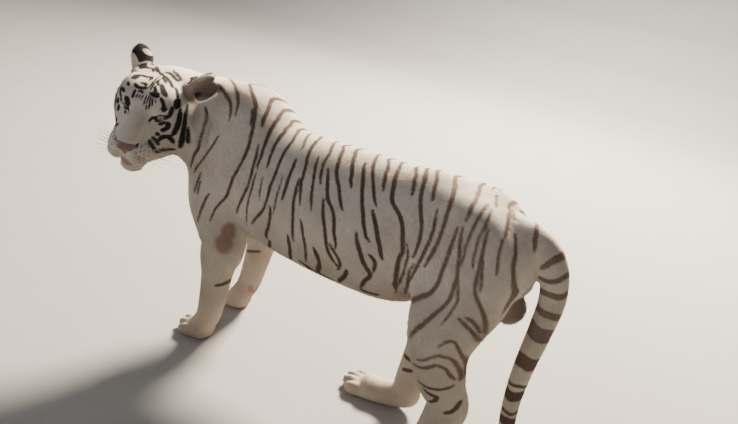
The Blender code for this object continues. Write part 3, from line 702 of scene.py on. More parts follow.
FLANK = (0.01, ROUND * math.pi / 180)  # the numbers below are centimetres along and degrees from the spine
FLANK_STRIPES = [
    (3, (-57, 3), (-53.7, 7.5), (-51, 11), (-49, 14.5), (-47, 18), (-45.3, 22), (-44.3, 26), (-43.5, 32)),
    (3, (-58, 16), (-55, 18), (-52.5, 20), (-50, 22.5), (-48, 24.5), (-46.3, 28), (-45.3, 32), (-44.8, 38)),
    (3.5, (-46.5, 52), (-47.3, 58), (-48, 64), (-49.2, 71), (-50.5, 79), (-52, 86), (-53, 92), (-53.8, 97)),
    (4.5, (-54, 37), (-52, 42), (-52, 50), (-52.3, 59), (-53, 70), (-54.5, 76), (-55.5, 85), (-56.5, 95)),
    (4, (-49, 1), (-46.7, 5.5), (-44.7, 9.5), (-42.3, 13), (-40.3, 16), (-39, 21), (-37.8, 26.5), (-37, 32),
     (-36.3, 38), (-35.8, 44.5), (-35.4, 51), (-35.4, 57), (-35.7, 63), (-36.2, 70), (-36.7, 77),
     (-37.5, 84),
     (-38, 92), (-38.6, 100), (-39.5, 108), (-41, 113), (-42.5, 119), (-43.5, 127)),
    (2, (-40, 21), (-38.6, 27), (-38, 32)),
    (3.5, (-50, 92), (-51, 100), (-51.5, 107), (-52, 112)),
    (3, (-49.7, 100), (-50, 107), (-50.2, 112)),
    (3.5, (-45.3, 107), (-46.3, 113), (-47.3, 120), (-48.3, 127), (-49, 131)),
    (4, (-33, 43), (-32.5, 49), (-32, 55.5), (-31.7, 62), (-31.5, 69), (-31.4, 75.5), (-31.3, 81),
     (-31.5, 88),
     (-32.2, 94.5), (-32.8, 100), (-33.5, 105.5), (-34.3, 111), (-35.2, 117), (-35.7, 122)),
    (4, (-34.7, 2), (-33.7, 9), (-33.3, 14), (-32.7, 22), (-32.2, 29), (-31.8, 34), (-31.3, 41), (-30.8, 48),
     (-30.5, 54), (-30.2, 61), (-29.8, 67)),
    (3, (-29.8, 70), (-29.6, 78), (-29.6, 85), (-30, 92), (-30.3, 100), (-30.6, 108), (-31, 116),
     (-31.5, 125),
     (-32, 133)),
    (4, (-38.5, 5), (-37, 12), (-36, 20), (-35, 27)),
    (4.5, (-30.7, 0), (-30, 10), (-29.3, 16), (-29.1, 23), (-28.8, 30), (-28.4, 37), (-27.9, 44),
     (-27.4, 50),
     (-27, 56), (-26.7, 62)),
    (2.5, (-26.5, 72), (-26.5, 80), (-26, 89), (-25.6, 95)),
    (4.5, (-27.3, 1), (-26.3, 7), (-25.7, 13), (-24.7, 20), (-24.3, 27), (-24.2, 33), (-23.8, 40),
     (-23.5, 47),
     (-23.2, 53), (-22.8, 60), (-22.7, 67), (-22.7, 80), (-22.7, 87), (-22.8, 93), (-23.3, 100),
     (-24, 104.5),
     (-25, 109), (-26.3, 113.5), (-27.3, 118), (-28.3, 122), (-29.2, 126)),
    (3, (-23, 2), (-22, 9), (-21.3, 14), (-20.3, 19), (-19.8, 24), (-19.5, 30)),
    (5, (-18.7, 41), (-18.2, 47), (-17.8, 52), (-17.7, 58), (-17.3, 67), (-17, 76), (-17, 84)),
    (2.5, (-19.7, 63), (-19.5, 72), (-19.3, 80), (-19.3, 87), (-19.2, 94), (-19.5, 102)),
    (5.5, (-20.8, 96), (-20.5, 103), (-20.7, 111), (-21.3, 118), (-22.3, 124), (-23, 130), (-23.3, 134)),
    (6, (-21.5, 133), (-22.3, 139), (-23.7, 145), (-24.7, 150)),
    (4.5, (-18.7, 1), (-18.2, 8), (-17.8, 14), (-17.2, 20), (-16.7, 26), (-16, 32), (-15.2, 38), (-14.3, 44),
     (-13.5, 51), (-13, 58), (-12.5, 63), (-11.8, 69), (-11.2, 74), (-10.3, 82)),
    (4.5, (-14, 59), (-13.7, 65), (-13.3, 72), (-12.8, 80), (-12.3, 87), (-11.8, 93), (-11.3, 100),
     (-11.2, 107), (-11, 113), (-10.8, 118)),
    (6, (-13, 114), (-12.7, 120), (-12.5, 127), (-13, 133), (-13.7, 140), (-14.3, 145), (-15, 149)),
    (4, (-13, 2), (-12, 9), (-11.3, 14), (-10.3, 20), (-9.8, 27), (-9.5, 33), (-9, 39), (-8.5, 44),
     (-7.8, 49),
     (-7, 53), (-6.5, 57)),
    (4, (-12.5, 30), (-11.8, 36), (-11.2, 42), (-10.3, 48), (-9.5, 53), (-8.7, 59), (-8, 65.5), (-7.2, 72),
     (-6.5, 78), (-6, 82)),
    (5, (-8.7, 5), (-7.5, 11), (-6.7, 19), (-6, 24), (-5.2, 30), (-4.3, 36), (-3.3, 42), (-1.7, 48),
     (-0.3, 53), (0.7, 58), (1.7, 63), (3, 69), (3.8, 71)),
    (5, (-7, 39), (-6, 44), (-5, 50), (-4, 56), (-3, 62), (-1.7, 68), (0, 72), (1.3, 76), (2.2, 82),
     (2.8, 88),
     (3.5, 94), (4.3, 101), (4.7, 106)),
    (5, (-3.5, 67), (-2.5, 76), (-1.5, 83), (-0.4, 90), (0.5, 97), (1.2, 104), (1.8, 110), (3, 116),
     (4.3, 120), (5.7, 124)),
    (4.5, (2.5, 104), (4, 109), (5.3, 113), (6.3, 118), (6.5, 123), (5.3, 128)),
    (4.5, (-8.7, 94), (-7.7, 101), (-7, 108), (-6.3, 114), (-6, 121), (-6.3, 128), (-6.8, 136)),
    (5, (-7, 143), (-8, 149), (-9, 153)),
    (9, (-10, 141), (-6, 146), (-2, 149), (2, 149)),
    (8, (12, 145), (15, 148), (18, 147)),
    (7, (-3, 114), (-1.9, 120), (-1.1, 127), (-1.6, 134), (-2.8, 141), (-3.6, 149)),
    (5, (-4.7, 1), (-3.5, 8.5), (-2.4, 16), (-1.4, 23), (-0.3, 29), (0.7, 34), (1.3, 39), (2.3, 44),
     (3.2, 49)),
    (5, (2, 18), (3, 25), (4, 31), (5, 37), (6.2, 43), (7.2, 50), (8.2, 56), (9.3, 63), (10.5, 70),
     (11.3, 76),
     (12.3, 82), (13.3, 87), (14.5, 89)),
    (4, (2.8, 2), (3.7, 9), (4.7, 16), (5.7, 23), (6.7, 28), (7.7, 33), (9, 39), (10, 44), (11, 49),
     (12, 53),
     (12.8, 56)),
    (4, (7, 2), (8.3, 9), (9.3, 15), (10, 22), (11, 29), (11.7, 35), (12.5, 40)),
    (5.5, (11.7, 6), (12.7, 15), (13.3, 23), (14.3, 30), (15.3, 39), (16.3, 46), (18, 50), (19.7, 54),
     (21, 58), (22, 64), (22.7, 70), (23.3, 77), (24, 84), (24.2, 89), (23.8, 93), (23.7, 100), (23.7, 110),
     (23.5, 120), (23.2, 129), (23.7, 134), (23.3, 140)),
    (6, (12.3, 60), (13.3, 66), (14.7, 72), (15.7, 78), (16.7, 85), (17.7, 91), (18.3, 97), (19.2, 102)),
    (6, (9.8, 85), (10.7, 92), (11.7, 98), (12.7, 104), (13.7, 110), (14.7, 115), (15.7, 119), (16.3, 121),
     (15.7, 126), (14.3, 130), (13.3, 137), (12.3, 143)),
    (5, (15, 101), (16.3, 103), (17.3, 108), (17.3, 113), (16.8, 118)),
    (6.5, (8.7, 124), (8.3, 129), (7, 135), (5.3, 142), (4, 148)),
    (4, (16.3, 2), (17.7, 9), (18.7, 15), (19.3, 22), (20.3, 28), (20.8, 34)),
    (5, (19.7, 2), (21, 11), (22, 18), (22.7, 25), (23.3, 32), (24.3, 38), (25.3, 44), (26.3, 50),
     (27.2, 56),
     (27.8, 62), (28, 70), (28, 78), (27.8, 85), (27.5, 90)),
    (4, (23, 2), (24, 8), (25, 13), (25.7, 20), (26.3, 26), (27, 30), (27.3, 34)),
    (3, (24.8, 78), (25.7, 86), (26, 92), (25.8, 100), (25.7, 108), (25.3, 116), (24.7, 125), (24, 132)),
    (4.5, (30, 40), (30.5, 46), (31, 53), (31.2, 60), (31.2, 67), (30.7, 74), (30.3, 82), (29.8, 90),
     (29.3, 98), (28.7, 106), (28, 113), (27.2, 120), (27, 128), (26.3, 135), (26, 142)),
    (2.5, (28.3, 95), (27.5, 102), (27, 110), (26.7, 120)),
    (5, (28.7, 2), (30, 10), (31.3, 19), (32.3, 27), (33, 35), (33.3, 43), (33.7, 50), (33.7, 57),
     (33.7, 64),
     (33.3, 70), (33, 78), (32.3, 85), (31.8, 92)),
    (4.5, (36.3, 2), (37.3, 12), (38, 20), (38.3, 28), (38.7, 35), (38.8, 42)),
    (5, (37.3, 48), (37.5, 56), (37.6, 64), (37.6, 72), (37.5, 80), (37.4, 88), (37.3, 95), (37, 101),
     (36.3, 106), (35.3, 111), (33.7, 115), (32, 121), (30.3, 128)),
    (4.5, (38.7, 46), (39, 52), (39.5, 58), (40, 64), (40.7, 70), (41.3, 78), (41.7, 85), (41.7, 95),
     (41.7, 105), (40.7, 112), (38.7, 120), (36.7, 127), (34.7, 133), (33.3, 139)),
    (3.5, (41, 15), (41.2, 25), (41.3, 35), (41.3, 43), (41.2, 56), (41.3, 62), (42, 75)),
    (3, (41.7, 2), (42.7, 11)),
    (3, (42, 85), (42.7, 92), (43.3, 99), (43.7, 105), (43.2, 112), (42.7, 117), (41.7, 122)),
    (3, (42.7, 20), (43.3, 30), (43.7, 38), (43.5, 45), (43.6, 53), (43.8, 60), (44.2, 68), (44.7, 74)),
    (4, (44.7, 39), (45, 45), (45.3, 52), (45.7, 60), (46, 68), (46.3, 76), (46.7, 85), (47, 92), (48, 98),
     (49, 103), (50, 108), (51, 115), (51.7, 123), (52, 130), (52.2, 137)),
    (3, (46.3, 64), (47, 72), (47.7, 80), (48.2, 87), (48.5, 92)),
    (4, (46, 1), (46.5, 10), (47.7, 20), (48.3, 30), (48.7, 36)),
    (3, (47.3, 1), (48, 10)),
    (3, (48.5, 38), (48.8, 45), (49.3, 53), (49.7, 60), (50.2, 68), (50.5, 73)),
    (4.5, (50.3, 23), (51.3, 31), (52, 38), (52.7, 45), (53, 53), (53.3, 60), (54, 68), (54.5, 75), (55, 83),
     (55.5, 90), (55.5, 98), (55.2, 106), (54.7, 115), (54.3, 125)),
    (5, (54.3, 2), (55, 13), (56, 23)),
    (3, (45.3, 116), (47, 119), (48.7, 123), (50, 128), (51, 134), (51.7, 140)),
    (3, (47, 115), (49, 118), (50.3, 123), (51.3, 130)),
]


def over_spine(stripe):
    """A stripe that starts by the spine, run on over it to meet its fellow of the other side."""
    half, first, second, *rest = stripe
    if first[1] > 12:
        return stripe
    lean = (second[0] - first[0]) / (second[1] - first[1])
    return (half, (first[0] - lean * (first[1] + 12), -12), first, second, *rest)


FLANK_STRIPES = [over_spine(stripe) for stripe in FLANK_STRIPES]
LEG = (0.01, 0.01)
LEG_STRIPES = [
    (5.5, (-42, 29), (-39.5, 30), (-37, 33), (-35.5, 37)),
    (3, (42.5, 50.5), (44, 52.7), (45.7, 54), (46.7, 53), (47.8, 51), (48.7, 49), (49.7, 46), (49.7, 42)),
    (3.5, (37.5, 43), (39.7, 44.5), (41.5, 46.5), (43.2, 48), (44.7, 48), (46, 48), (47.1, 47.5), (48, 46),
     (49, 43.5), (49.7, 40.5)),
    (4, (36, 40), (39.2, 41), (41.5, 43), (43, 44.5), (44.7, 44.7), (46, 44), (47.2, 42), (48.5, 41)),
    (3.5, (38.5, 35), (41, 35), (43, 35.5), (44.7, 36), (46.5, 37), (47.7, 38), (48.7, 39)),
    (5, (41, 33.5), (43, 33), (45.5, 33.5), (45, 31.5), (43, 29.5)),
    (5, (48, 28), (50, 29.5), (51, 31.5), (51.3, 33.5)),
]
FACE = (FACE_ROUND * math.pi / 180, FACE_ROUND * math.pi / 180)


def mirrored(stripes):
    """The same stripes on both cheeks."""
    return [(half, *((side * a, b) for a, b in points)) for side in (1, -1) for half, *points in stripes]


FACE_STRIPES = [
    (9, (-43, 59), (-49, 67), (-46, 75), (-37, 80), (-28, 81)),
    (8, (-46, 70), (-40, 66), (-40, 60)),
    (8.5, (-36, 80), (-27, 82), (-20, 86), (-15, 82), (-14, 76)),
    (6, (-30, 56), (-24, 53), (-14, 56), (-5, 60)),
    (5.5, (-24, 63), (-16, 66), (-9, 63)),
    (4.5, (-41, 50), (-35, 48)),
    (6, (-43, 38), (-35, 37)),
    (4.5, (-22, 48), (-20.5, 42), (-20, 35)),
    (4, (-17, 48), (-12, 51), (-6, 49)),
    (4, (-3, 60), (-3, 68), (-4, 76), (-5, 86), (-4, 96)),
    (4, (2, 57), (2, 66), (0, 74), (2, 84), (5, 92)),
    (6, (5, 69), (9, 63), (14, 59)),
    (6, (2, 85), (6, 77), (12, 72)),
    (7, (5, 54), (10, 52), (16, 51), (22, 51)),
    (5, (9, 58), (16, 57), (21, 53)),
    (2.6, (-5, 46), (-5.5, 38)),
    (2.6, (1, 48), (1.5, 40), (3, 32)),
    (2.6, (5, 49), (6, 42), (6, 35)),
    (3.2, (9, 48), (10.5, 41), (11.5, 34), (12.5, 28)),
    (3.2, (13, 46), (14.5, 40), (16, 34)),
    (2.4, (-9, 45), (-11, 39)),
    (2.4, (-14, 44), (-15.5, 38)),
    (2.2, (7, 33), (8.5, 26)),
    (2.2, (18, 46), (20, 40)),
    (10, (15, 77), (20, 70), (26, 61), (33, 53)),
    (6.5, (3, 98), (12, 91), (22, 84)),
    (7.5, (-3, 102), (8, 100), (18, 96), (28, 90), (36, 81), (39, 73)),
    (7.5, (-20, 106), (-10, 104), (0, 103)),
    (6, (43, 76), (47, 66), (49, 57), (50, 50)),
    (11, (49, 50), (51, 43), (51, 36)),
    (7, (-6, 112), (6, 113), (16, 111), (28, 105), (38, 99), (48, 94)),
    (5.5, (20, 118), (32, 112), (42, 105), (52, 96)),
    (4.5, (8, 123), (16, 119), (24, 114)),
    (5, (60, 90), (64, 94), (69, 96), (74, 98)),
    (6, (-68, 76), (-72, 82), (-72, 89), (-68, 96), (-58, 101)),
    (6, (-78, 86), (-80, 95), (-80, 103)),
    (8, (-62, 107), (-45, 109), (-30, 108), (-15, 105)),
    (5, (-62, 100), (-50, 102), (-36, 101)),
    (3.2, (36, 15), (30, 11.5), (24, 11)),
    (5, (30, 7), (36, 9), (40, 12.5)),
    (7.5, (41, 1), (44, 6), (43, 12)),
    (6, (43, 3), (38, 0), (34, -1)),
    (5.5, (25, 49), (30, 43), (33, 37), (34, 31)),
    (8.5, (31, 32.5), (37, 33)),
    (6.5, (44.5, 37), (44, 28), (43, 20)),
    (4, (42, 19), (38, 17)),
    (4, (27, -4), (32, -6.5)),
    (3, (20, -9), (24, -13), (27, -19)),
    (4, (72, 2), (69.5, -12), (66, -26)),
    (4, (64, 85), (67, 92), (72, 100), (75, 104)),
    (7, (-25, 14), (-30, 17), (-36, 19)),
    (8, (-22, 20), (-24, 28), (-29, 31)),
    (6.5, (-35, 23), (-40, 28), (-45, 33), (-47, 39)),
    (7, (-49, 11), (-47, 20)),
    (5, (-24, 7), (-28, 10)),
    (6, (-42, 2), (-43, 11)),
    (5, (-55, 27), (-57, 10)),
]
FACE_STRIPES += mirrored([
    (4, (17, 10), (19, 14), (21, 18)),
    (8.5, (57, 35), (58, 26), (58, 17), (56.5, 8), (55, 0), (52, -7), (49, -11)),
    (6.5, (50, -11), (45, -11.5), (39, -10), (34, -10), (30, -13)),
    (6.5, (40, -9), (45, -13), (49, -19), (50, -27)),
    (3, (23, -7), (28, -11), (31, -17)),
    (7, (68, 42), (67.5, 30), (67, 18), (66, 7), (65, -4), (62.5, -16), (60, -27), (56, -38)),
    (5, (27, -21), (34, -29), (41, -36), (49, -42)),
])
FACE_STRIPES += [  # the dark roots of the whiskers
    (
        0.8,
        (side * (11 + 3.2 * k), 0.5 * k - 11.5 - 3.0 * row),
        (side * (12 + 3.2 * k), 0.5 * k - 11.6 - 3.0 * row),
    )
    for side in (1, -1)
    for row in range(4)
    for k in range(5)
]
RIGHT_LEG_STRIPES = [
    (4.5, (-52, 28.7), (-49, 30), (-45.5, 31.2)),
    (5, (-43.5, 37), (-42.3, 33)),
    (5, (23.5, 22), (27.5, 22.6)),
    (5, (25, 17.8), (28.5, 19.5)),
    (5, (20, 28.5), (24, 28), (30, 30.5)),
    (4, (19, 34), (24, 34.5), (31, 37)),
    (5, (20, 40), (25, 40.5), (33, 43)),
    (4, (21, 46), (27, 46), (34, 48.5)),
]
TAIL_LINE = tail()
TAIL_REACH = np.append(0, np.cumsum(norms(np.diff(TAIL_LINE.line, axis=0))))
TAIL_RINGS = (  # centimetres from the root, and half the width in millimetres
    (12.2, 8), (16.4, 7), (20.6, 9), (26.9, 11), (34.0, 25), (44.8, 24), (53.4, 6), (57.0, 19),
    (63.2, 6), (66.6, 15),
    (72.4, 7), (76.2, 14), (83.6, 14), (89.6, 12), (96.0, 28),
)


def ripple(p, size, seed):
    """A smooth wobble from -1 to 1, the same each time."""
    total = 0
    for k, way in enumerate(np.random.default_rng(seed).normal(size=(4, 3))):
        total = total + np.sin(p @ (way * (1 + 0.6 * k)) / size + k * 2.1)
    return total / 4


def tail_rings(p):
    along, across, above, *_ = TAIL_LINE.place(p)
    reach = np.interp(along, np.linspace(0, 1, len(TAIL_REACH)), TAIL_REACH)
    turn = np.arctan2(above, across)
    depth = np.full(len(p), NO_STRIPE)
    for number, (place, half) in enumerate(TAIL_RINGS):
        slant = 0.004 * np.sin(turn + number) + 0.002 * np.sin(3 * turn + 2 * number)
        depth = np.maximum(depth, half / 1000 - np.abs(reach + slant - place / 100))
    return depth


def patch(p, middle, reach, edge=0.25):
    """1 inside an egg-shaped patch, fading to 0 over its edge."""
    return 1 - smooth(1 - edge, 1 + edge, norms((p - middle) / reach))


def ear_colours(q):
    """Black backs with a pale spot, grey-pink cups, painted shade in the pit at one ear's root, and where no
    stripe runs.
    """
    black, pink, plain = np.zeros(len(q)), np.zeros(len(q)), np.zeros(len(q), bool)
    edges = ((1, -0.026, 0.008), (-1, 0.001, 0.0))
    for (middle, rise, face), gap, (side, root, rim) in zip(EARS, from_ears(q), edges):
        rise, face = unit(rise), unit(face)
        off = q - np.array(middle)
        tall, wide, out = off @ rise, off @ unit(np.cross(rise, face)) * side, off @ face
        near = 1 - smooth(0.050, 0.060, gap)
        leaf = out - (9.0 * (wide**2 + (tall - 0.004) ** 2) - 0.0115)  # before the hollow face
        back = near * (1 - smooth(-0.004, 0.0, leaf + rim)) * (1 - smooth(0.022, 0.032, off[:, 0]))
        back *= smooth(-0.003, 0.004, tall - root + 0.4 * np.clip(wide, 0, 0.04))
        along = (wide - 0.018) * 0.85 - (tall - 0.025) * 0.53
        over = (wide - 0.018) * 0.53 + (tall - 0.025) * 0.85
        spot = 1 - smooth(0.65, 1.35, np.hypot(along / 0.023, over / 0.0085))
        cup = near * smooth(-0.002, 0.003, leaf) * (1 - smooth(0.040, 0.050, np.hypot(tall - 0.004, wide)))
        black, pink = np.maximum(black, back * (1 - spot)), np.maximum(pink, cup)
        plain |= (near > 0.5) & (tall > root - 0.004)
    # painted shade: the pit at the left ear's root, darkened where shade falls in it
    black = np.maximum(black, patch(q, (-0.041, 0.108, 0.072), (0.030, 0.022, 0.012), 0.6) * 0.56)
    front = patch(q, (-0.014, 0.108, 0.098), (0.038, 0.038, 0.042), 0.3) * 0.9
    return black, np.maximum(pink, front), plain


NOSE_EDGE = (  # how far down the head, and how far out the pad of the nose reaches there
    (0.020, 0.024, 0.033, 0.045, 0.056, 0.068, 0.078),
    (0.008, 0.024, 0.034, 0.026, 0.012, 0.005, 0.003),
)
# where the nostrils open: painted black as the shade inside them
NOSTRIL_SHADE_SLITS = mirrored([(2.6, (4, -13.5), (8, -12.5), (11.5, -9.5))])


def eye_rims(q):
    """The dark bare edge of the lids, drawn to a point at the inner corner."""
    rim = np.zeros(len(q))
    for out in (1, -1):
        off = q - np.array(EYE_PLACE) * (1, out, 1)
        gaze, slant = eye_ways(out)
        slant = unit(slant)
        wide, tall = off @ slant, off @ (unit(np.cross(gaze, slant)) * out)
        ring = np.hypot(wide / 0.0175, (tall + 0.0008) / 0.0066)
        rim = np.maximum(rim, (off @ gaze > 0.002) * (1 - smooth(1.30, 1.55, ring)))
    return rim


def charts(p):
    """Each place on the charts of flank, leg and face, slightly rippled, and its degrees from the spine."""
    wobble = np.stack([ripple(p, 0.012, 1), ripple(p, 0.012, 2)], 1) * 0.0012
    flank = np.stack([p[:, 0], ROUND * from_spine(p)], 1) + wobble
    turned = np.degrees(flank[:, 1] / ROUND)
    shuffle = 0.022 * ripple(np.stack([0 * turned, turned / 60, 0 * turned], 1), 0.9, 7)
    other_side = 0.042 * (1 - np.exp(-turned / 15)) + smooth(20, 60, turned) * shuffle
    flank[:, 0] += (p[:, 1] > 0.0) * other_side  # the right flank isn't the left one's mirror image
    return flank, p[:, [0, 2]] + wobble, head_chart(p) + wobble * 0.5, turned


def stripe_depth(p, head, tail_part, flank, leg, face, turned):
    """How deep inside a stripe each place is."""
    right = p[:, 1] > 0.0
    mark = np.full(len(p), NO_STRIPE)
    body = (p[:, 0] > -0.60) & ~tail_part & (p[:, 2] > 0.42)
    mark[body] = inside(FLANK_STRIPES, flank[body], FLANK) + 0.0012 - 0.0004 * smooth(0.22, 0.42, p[body, 0])
    mark[body] += 0.0010 * (1 - smooth(20, 45, turned[body]))
    for side, stripes in ((~right, LEG_STRIPES), (right, RIGHT_LEG_STRIPES)):
        limb = side & ~head & ~tail_part & (p[:, 2] < 0.56) & (np.abs(p[:, 0] + 0.05) > 0.22)
        mark[limb] = np.maximum(mark[limb], inside(stripes, leg[limb], LEG) + 0.0015)
    mark[head] = np.maximum(mark[head], inside(FACE_STRIPES, face[head], FACE))
    if tail_part.any():
        mark[tail_part] = tail_rings(p[tail_part])
    return mark


def stripe_tone(p, q, head, tail_part, turned):
    """How brown the stripes are, and how soft their edges: black and sharp on the face, soft behind."""
    away = norms(q)
    face_side = head & ((q[:, 0] > 0.3 * away) | ((q[:, 2] > 0.07) & (q[:, 0] > -0.06)))
    brown = 0.55 + 0.25 * (1 - smooth(20, 48, turned)) * smooth(0.40, 0.60, p[:, 2])
    brown += 0.45 * smooth(0.20, 0.45, p[:, 0]) * smooth(0.30, 0.50, p[:, 2])
    brown = np.clip(brown, 0, 1) * smooth(0.135, 0.190, away) * ~face_side
    high = np.where(tail_part, smooth(0.42, 0.62, p[:, 2]), smooth(0.34, 0.50, p[:, 2]))
    soft = smooth(0.10, 0.40, p[:, 0]) * high
    return brown, np.maximum(soft, 0.5 * (1 - smooth(-0.52, -0.42, p[:, 0])) * ~face_side)


def nose_and_lips(p, q, head):
    wing = np.interp(-q[:, 2], *NOSE_EDGE, left=-1, right=-1) - np.abs(q[:, 1])
    nose = smooth(-0.0012, 0.0012, wing) * (q[:, 0] > 0.155)
    # the lips: a dark line along the mouth's slit, partly the lips' own dark skin and partly painted shade in
    # the slit
    return nose, np.max([1 - smooth(0.0010, 0.0026, lip.distance(p)) for lip in LIPS], axis=0) * head


def pink_face(q):
    """The thin hair over the bridge of the nose, and the lower lip."""
    bridge = smooth(0.075, 0.125, q[:, 0]) * (1 - smooth(0.022, 0.044, np.abs(q[:, 1])))
    bridge *= smooth(-0.03, -0.01, q[:, 2])
    mouth = smooth(0.120, 0.135, q[:, 0]) * smooth(-0.121, -0.116, q[:, 2] - 9.0 * q[:, 1] ** 2)
    mouth *= 1 - smooth(-0.101, -0.096, q[:, 2] + 4.0 * q[:, 1] ** 2)
    return np.maximum(0.42 * bridge, mouth * (1 - smooth(0.030, 0.042, np.abs(q[:, 1]))))


def sore_patches(p):
    """Ragged bare sores behind the left elbow, and a small one on the right forearm."""
    ragged = p + 0.005 * np.stack([ripple(p, 0.010, 3), np.zeros(len(p)), ripple(p, 0.010, 4)], 1)
    upper = patch(ragged, (-0.374, -0.20, 0.524), (0.019, 0.09, 0.038))
    lower = patch(ragged, (-0.381, -0.20, 0.480), (0.026, 0.09, 0.034))
    small = patch(ragged, (-0.490, 0.13, 0.12), (0.010, 0.05, 0.026), 0.4)
    return np.maximum(np.maximum(upper, lower) * 0.85, small)


def markings(p):
    """For each place on the animal: how deep in a stripe it is, and how brown, bare, black or pink it is."""
    q = head_place(p)
    head = (on_head(p) > 0.35) & (q[:, 0] > -0.10)
    tail_part = (p[:, 0] > 0.585) & (np.abs(p[:, 1]) < 0.07)
    flank, leg, face, turned = charts(p)
    mark = stripe_depth(p, head, tail_part, flank, leg, face, turned)
    brown, soft = stripe_tone(p, q, head, tail_part, turned)
    black, pink, plain = ear_colours(q)
    mark[plain] = NO_STRIPE
    # painted shade in the nostril openings
    nostril_shade = (q[:, 0] > 0.155) * smooth(-0.0010, 0.0010, inside(NOSTRIL_SHADE_SLITS, face, FACE))
    scrotum = patch(p, (0.545, 0.0, 0.585), (0.045, 0.050, 0.060))
    # darker, warmer hair towards the feet and under the belly: partly soiled hair, mostly painted shade
    soil_and_shade = np.maximum(0.95 * (1 - smooth(0.10, 0.62, p[:, 2])), 0.5 * smooth(100, 150, turned)) * ~head
    return {
        "mark": mark,
        "brown": brown,
        "bare": np.maximum(*nose_and_lips(p, q, head)),
        # black holds the ear backs and lid rims, and painted shade in the nostrils and at one ear's root
        "black": np.max([black, eye_rims(q), nostril_shade], axis=0),
        "pink": np.max([pink, pink_face(q), scrotum], axis=0),
        "soil_and_shade": soil_and_shade,
        "soft": soft,
        "raw": sore_patches(p),
    }


# ---------------------------------------------------------------- coat colour
# The same dye on skin and hair: creamy white, smoky brown or black where a stripe runs, pink-grey where bare,
# and painted shade, darker and warmer, low on the legs and under the belly.
# It grows in the hair's own horn, so that each tuft takes the colours of the place that it is rooted in.
class Value:
    """A socket of a material, which can be added, taken away or multiplied as a number can."""

    def __init__(self, finish, socket):
        self.finish, self.socket = finish, socket

    def maths(self, operation, first, second):
        made = self.finish.node("ShaderNodeMath", {"operation": operation}, {0: first, 1: second})
        return Value(self.finish, made.outputs[0])

    def __add__(self, other):
        return self.maths("ADD", self, other)

    def __sub__(self, other):
        return self.maths("SUBTRACT", self, other)

    def __mul__(self, other):
        return self.maths("MULTIPLY", self, other)

    def __radd__(self, other):
        return self.maths("ADD", other, self)

    def __rsub__(self, other):
        return self.maths("SUBTRACT", other, self)

    def __rmul__(self, other):
        return self.maths("MULTIPLY", other, self)

    def ramp(self, low, high):
        """0 below low, 1 above high, and smooth between."""
        settings = {"interpolation_type": "SMOOTHSTEP"}
        sockets = {"Value": self, "From Min": low, "From Max": high}
        made = self.finish.node("ShaderNodeMapRange", settings, sockets)
        return Value(self.finish, made.outputs[0])


class Finish:
    """A material being made from nodes."""

    def __init__(self, name):
        self.material = bpy.data.materials.new(name)
        self.material.use_nodes = True
        self.tree = self.material.node_tree
        self.shader = self.tree.nodes["Principled BSDF"]

    def node(self, kind, settings=None, sockets=None):
        made = self.tree.nodes.new(kind)
        for name, setting in (settings or {}).items():
            setattr(made, name, setting)
        self.feed(made, sockets or {})
        return made

    def feed(self, node, sockets):
        for name, value in sockets.items():
            if isinstance(value, Value):
                self.tree.links.new(value.socket, node.inputs[name])
            elif isinstance(value, tuple) and len(value) == 3 and node.inputs[name].type == "RGBA":
                node.inputs[name].default_value = (*value, 1)
            else:
                node.inputs[name].default_value = value

    def read(self, name):
        made = self.node("ShaderNodeAttribute", {"attribute_name": name})
        return Value(self, made.outputs["Fac"])

    def place(self):
        return Value(self, self.node("ShaderNodeTexCoord").outputs["Object"])

    def noise(self, scale, detail=2.0, rough=0.5, stretch=None):
        where = self.place()
        if stretch:
            made = self.node("ShaderNodeVectorMath", {"operation": "MULTIPLY"}, {0: where, 1: stretch})
            where = Value(self, made.outputs[0])
        sockets = {"Vector": where, "Scale": scale, "Detail": detail, "Roughness": rough}
        return Value(self, self.node("ShaderNodeTexNoise", None, sockets).outputs["Fac"])

    def mix(self, share, first, second, blend="MIX"):
        settings = {"data_type": "RGBA", "blend_type": blend}
        made = self.node("ShaderNodeMix", settings, {0: share, 6: first, 7: second})
        return Value(self, made.outputs[2])

    def bump(self, height, distance, strength=1.0):
        sockets = {"Height": height, "Distance": distance, "Strength": strength}
        return Value(self, self.node("ShaderNodeBump", None, sockets).outputs["Normal"])

    def surface(self, **sockets):
        self.feed(self.shader, {name.replace("_", " "): value for name, value in sockets.items()})
        return self.material


WHITE_HAIR = (0.78, 0.71, 0.62)
# the dark warm colour that the hair turns to low on the legs and under the belly: soiling and painted shade
# together
SOIL_AND_SHADE_HAIR = (0.41, 0.325, 0.245)
BLACK_HAIR = (0.033, 0.029, 0.030)
BROWN_HAIR = (0.185, 0.125, 0.098)
FADED_HAIR = (0.36, 0.275, 0.22)
NOSE_SKIN = (0.235, 0.145, 0.150)
PINK_SKIN = (0.34, 0.235, 0.205)
RAW_SKIN = (0.33, 0.175, 0.145)


def grey_of(finish, tone):
    return Value(finish, finish.node("ShaderNodeCombineColor", None, {0: tone, 1: tone, 2: tone}).outputs[0])


